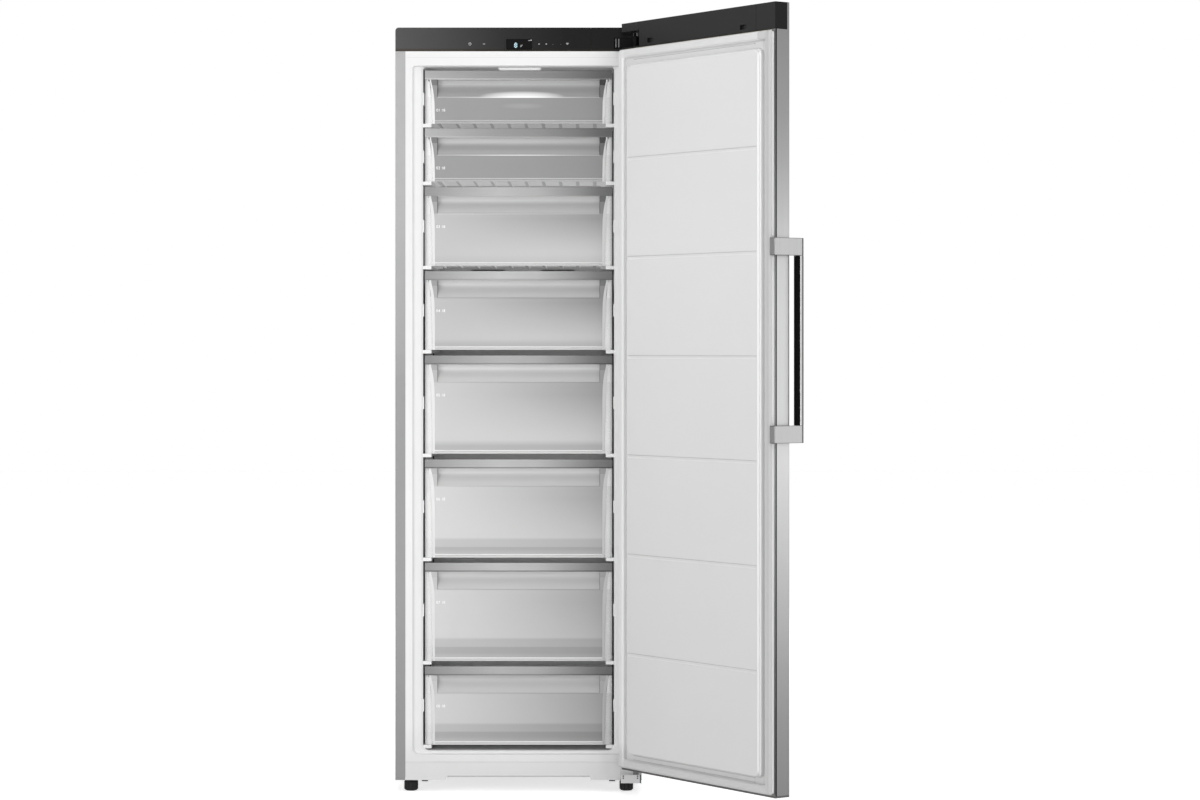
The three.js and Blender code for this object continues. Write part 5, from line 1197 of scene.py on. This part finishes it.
# %% The lower hinge's skirt and its screws
SKIRT_BACK = -57.3
SKIRT_THICK = 1.6
SKIRT_LOW = 28.8
SKIRT_HIGH = 49.0
SKIRT_LEFT = 247.0
SKIRT_RIGHT = 296.0
SKIRT_FRONT = SKIRT_BACK - SKIRT_THICK
SKIRT_SCREWS = [(253.0, 46.0), (253.0, 41.0), (287.1, 46.0), (287.1, 41.0)]
SKIRT_SCREW_RADIUS = 1.9
SKIRT_SCREW_RISE = 0.8

skirt_size = (SKIRT_RIGHT - SKIRT_LEFT, SKIRT_THICK, SKIRT_HIGH - SKIRT_LOW)
skirt_middle = at(
    (SKIRT_LEFT + SKIRT_RIGHT) / 2, SKIRT_BACK - SKIRT_THICK / 2, (SKIRT_LOW + SKIRT_HIGH) / 2,
)
# The skirt's right end gets painted shade, nearly black.
skirt_steel = shaded_steel(
    "skirt_steel", 0.5, "X", at(290, 0, 0).x, at(296, 0, 0).x,
    [(0.0, 1.0), (0.4, 1.0), (0.45, 0.1), (1.0, 0.1)],
)
bar(skirt_middle, skirt_size)
settle("hinge_skirt", skirt_steel, CABINET)
for index, (x, z) in enumerate(SKIRT_SCREWS, start=1):
    place = at(x, SKIRT_FRONT - 0.3, z)
    screw(f"hinge_screw_{index}", place, SKIRT_SCREW_RADIUS, SKIRT_SCREW_RISE, screw_dark, CABINET)
print("lower hinge's skirt and", len(SKIRT_SCREWS), "screws made")

# %% [markdown]
# Two small black stops sit under the plinth, and ten flat screws hold the back sheet. All of them
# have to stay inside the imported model's box, so the screws at the back are nearly flush.

# %% Stops and back screws
STOP_FROM_MIDDLE = 226.5
STOP_SIZE = (15, 12, 3.5)
BACK_SHEET = 594.7
FLUSH = 0.25
BACK_SCREW_FROM_MIDDLE = 286
BACK_SCREW_RADIUS = 4.0
BACK_SCREW_ROWS = (300, 690, 1080, 1470, 1810)

for side_name, x in (("left", -STOP_FROM_MIDDLE), ("right", STOP_FROM_MIDDLE)):
    bar(at(x, 10, 26.6), STOP_SIZE)
    settle(f"plinth_stop_{side_name}", foot_black, CABINET)
for row, z in enumerate(BACK_SCREW_ROWS):
    for side_name, x in (("left", BACK_SCREW_FROM_MIDDLE), ("right", -BACK_SCREW_FROM_MIDDLE)):
        place = at(x, BACK_SHEET + FLUSH / 2, z)
        name = f"back_screw_{side_name}_{row}"
        screw(name, place, BACK_SCREW_RADIUS, FLUSH, screw_zinc, CABINET, FACING_BACK)
print("stops and", 2 * len(BACK_SCREW_ROWS), "back screws made")

# %% [markdown]
# ## Moulded lines
#
# The door's liner has fine level lines beside its raised middle, each with a small dot where it
# ends. The flange over the opening has a plain faint grey one, the painted shade of a low step in
# it. Each is a thin bar, half sunk in the sheet.

# %% Lines on the door and on the flange
LINE_MIDDLE = -14.95
LINE_THICK = 0.2
LINE_TALL = 0.9
DOT_RADIUS = 1.7
DOT_THICK = 0.3
DOT_BEVEL = 0.07


def door_line(name, z, left, right):
    line = bar(at((left + right) / 2, LINE_MIDDLE, z), (right - left, LINE_THICK, LINE_TALL))
    dot = disc(at(left, LINE_MIDDLE, z), DOT_RADIUS, DOT_THICK, 16)
    bevel_all(DOT_BEVEL)
    joined([line, dot])
    settle(name, line_grey, DOOR, DOOR_TURN)


door_line("door_line_top", 1761.0, -223, 247)
door_line("door_line_low_1", 100.0, -223, 250)
door_line("door_line_low_2", 90.0, -223, 250)
# Painted shade: a faint grey strip where the flange has a low step.
bar(at(0, -0.03, 1774.6), (540, 0.1, 0.8))
settle("flange_line", line_faint, CABINET)
print("lines made")

# %% [markdown]
# ## Floor and sky
#
# The floor is pale and keeps the shadow. What the camera, metal and glass see of it is raised to
# white, and the light that it throws on the freezer stays plain.

# %% Floor
FLOOR_SIZE = 40
FLOOR_GREY = 0.8
FLOOR_GLOW = 0.62
SEEN_BY = ("Is Camera Ray", "Is Glossy Ray", "Is Transmission Ray")


def pale_floor():
    finish = Finish("floor_pale", Roughness=0.9)
    finish.set("Base Color", (*shade(FLOOR_GREY), 1))
    camera_ray, glossy, through = (finish.node("ShaderNodeLightPath", out=ray) for ray in SEEN_BY)
    seen = finish.clamp01(camera_ray + glossy + through)
    glow = finish.node("ShaderNodeEmission", None, {"Color": (1, 1, 1, 1), "Strength": seen * FLOOR_GLOW})
    plain = Wire(finish, finish.shader.outputs[0])
    whole = finish.node("ShaderNodeAddShader", None, {0: plain, 1: glow})
    finish.feed(finish.tree.nodes["Material Output"].inputs["Surface"], whole)
    return finish.material


bpy.ops.object.select_all(action="DESELECT")
bpy.ops.mesh.primitive_plane_add(size=FLOOR_SIZE, location=(0, 0, 0))
floor = bpy.context.active_object
floor.name = "floor"
floor.data.materials.append(pale_floor())
print("floor ready")

# %% [markdown]
# The world is lit the same way: a plain grey light for the freezer, and white for the rays that
# look at the background. The larger of the three ray outputs picks between the two.

# %% World
AMBIENT = 0.4
world = bpy.data.worlds.new("studio")
bpy.context.scene.world = world
world.use_nodes = True
sky = world.node_tree
sky.nodes.clear()
path = sky.nodes.new("ShaderNodeLightPath")
seen = path.outputs[SEEN_BY[0]]
for ray in SEEN_BY[1:]:
    larger = sky.nodes.new("ShaderNodeMath")
    larger.operation = "MAXIMUM"
    sky.links.new(seen, larger.inputs[0])
    sky.links.new(path.outputs[ray], larger.inputs[1])
    seen = larger.outputs[0]
blend = sky.nodes.new("ShaderNodeMixShader")
sky.links.new(seen, blend.inputs[0])
for slot, strength in ((1, AMBIENT), (2, 1.0)):
    light = sky.nodes.new("ShaderNodeBackground")
    light.inputs["Color"].default_value = (1, 1, 1, 1)
    light.inputs["Strength"].default_value = strength
    sky.links.new(light.outputs[0], blend.inputs[slot])
output = sky.nodes.new("ShaderNodeOutputWorld")
sky.links.new(blend.outputs[0], output.inputs["Surface"])
print("world ready")

# %% [markdown]
# ## Lamps
#
# Broad soft lamps on the left and right, one overhead, a low one in front for the plinth and a
# weak one behind are enough for a plain studio picture. A large area gives soft edges.

# %% Lamps
SOFT_LAMPS = {
    "lamp_left": ((-3.2, -4.2, 2.4), (0, 0, 1.0), (2.4, 3.0), 72),
    "lamp_right": ((3.4, -4.4, 2.0), (0, 0, 1.0), (1.8, 2.6), 62),
    "lamp_top": ((0.2, -1.6, 4.4), (0, 0, 0.6), (3.0, 2.4), 36),
    "lamp_low": ((-0.3, -5.0, 0.5), (0, 0, 1.1), (3.0, 0.8), 38),
    "lamp_back": ((0.5, 4.5, 3.0), (0, 0, 1.0), (3.0, 2.5), 60),
}

for name, (place, aim, size, power) in SOFT_LAMPS.items():
    bpy.ops.object.select_all(action="DESELECT")
    bpy.ops.object.light_add(type="AREA", location=place)
    lamp = bpy.context.active_object
    lamp.name = name
    lamp.data.shape = "RECTANGLE"
    lamp.data.size, lamp.data.size_y = size
    lamp.data.energy = power
    direction = Vector(aim) - Vector(place)
    lamp.rotation_euler = direction.to_track_quat("-Z", "Y").to_euler()
print("lamps:", len(SOFT_LAMPS))

# %% [markdown]
# ## Camera
#
# The freezer was photographed with a long lens from a little right of its middle, at chest
# height, looking straight at it. The horizon lies above the middle of the picture, so the
# camera is shifted and not tilted, and the cabinet's uprights stay upright.

# %% Camera
SENSOR_MM = 36.0
PICTURE_WIDTH_PX = 1200
FOCAL_PX = 3118
HORIZON_ABOVE_MIDDLE_PX = 49.2
CAMERA_DISTANCE_MM = 7535
CAMERA_RIGHT_MM = 197.1
CAMERA_HEIGHT_MM = 1065.8
SEES_TO = 60

bpy.ops.object.select_all(action="DESELECT")
bpy.ops.object.camera_add(
    location=at(CAMERA_RIGHT_MM, -CAMERA_DISTANCE_MM, CAMERA_HEIGHT_MM), rotation=FACING_FRONT,
)
camera = bpy.context.active_object
camera.name = "camera"
camera.data.sensor_width = SENSOR_MM
camera.data.lens = SENSOR_MM * FOCAL_PX / PICTURE_WIDTH_PX
camera.data.shift_y = -HORIZON_ABOVE_MIDDLE_PX / PICTURE_WIDTH_PX
camera.data.clip_end = SEES_TO
bpy.context.scene.camera = camera
bpy.context.scene.view_settings.view_transform = "Standard"
print("lens", round(camera.data.lens, 2), "mm")
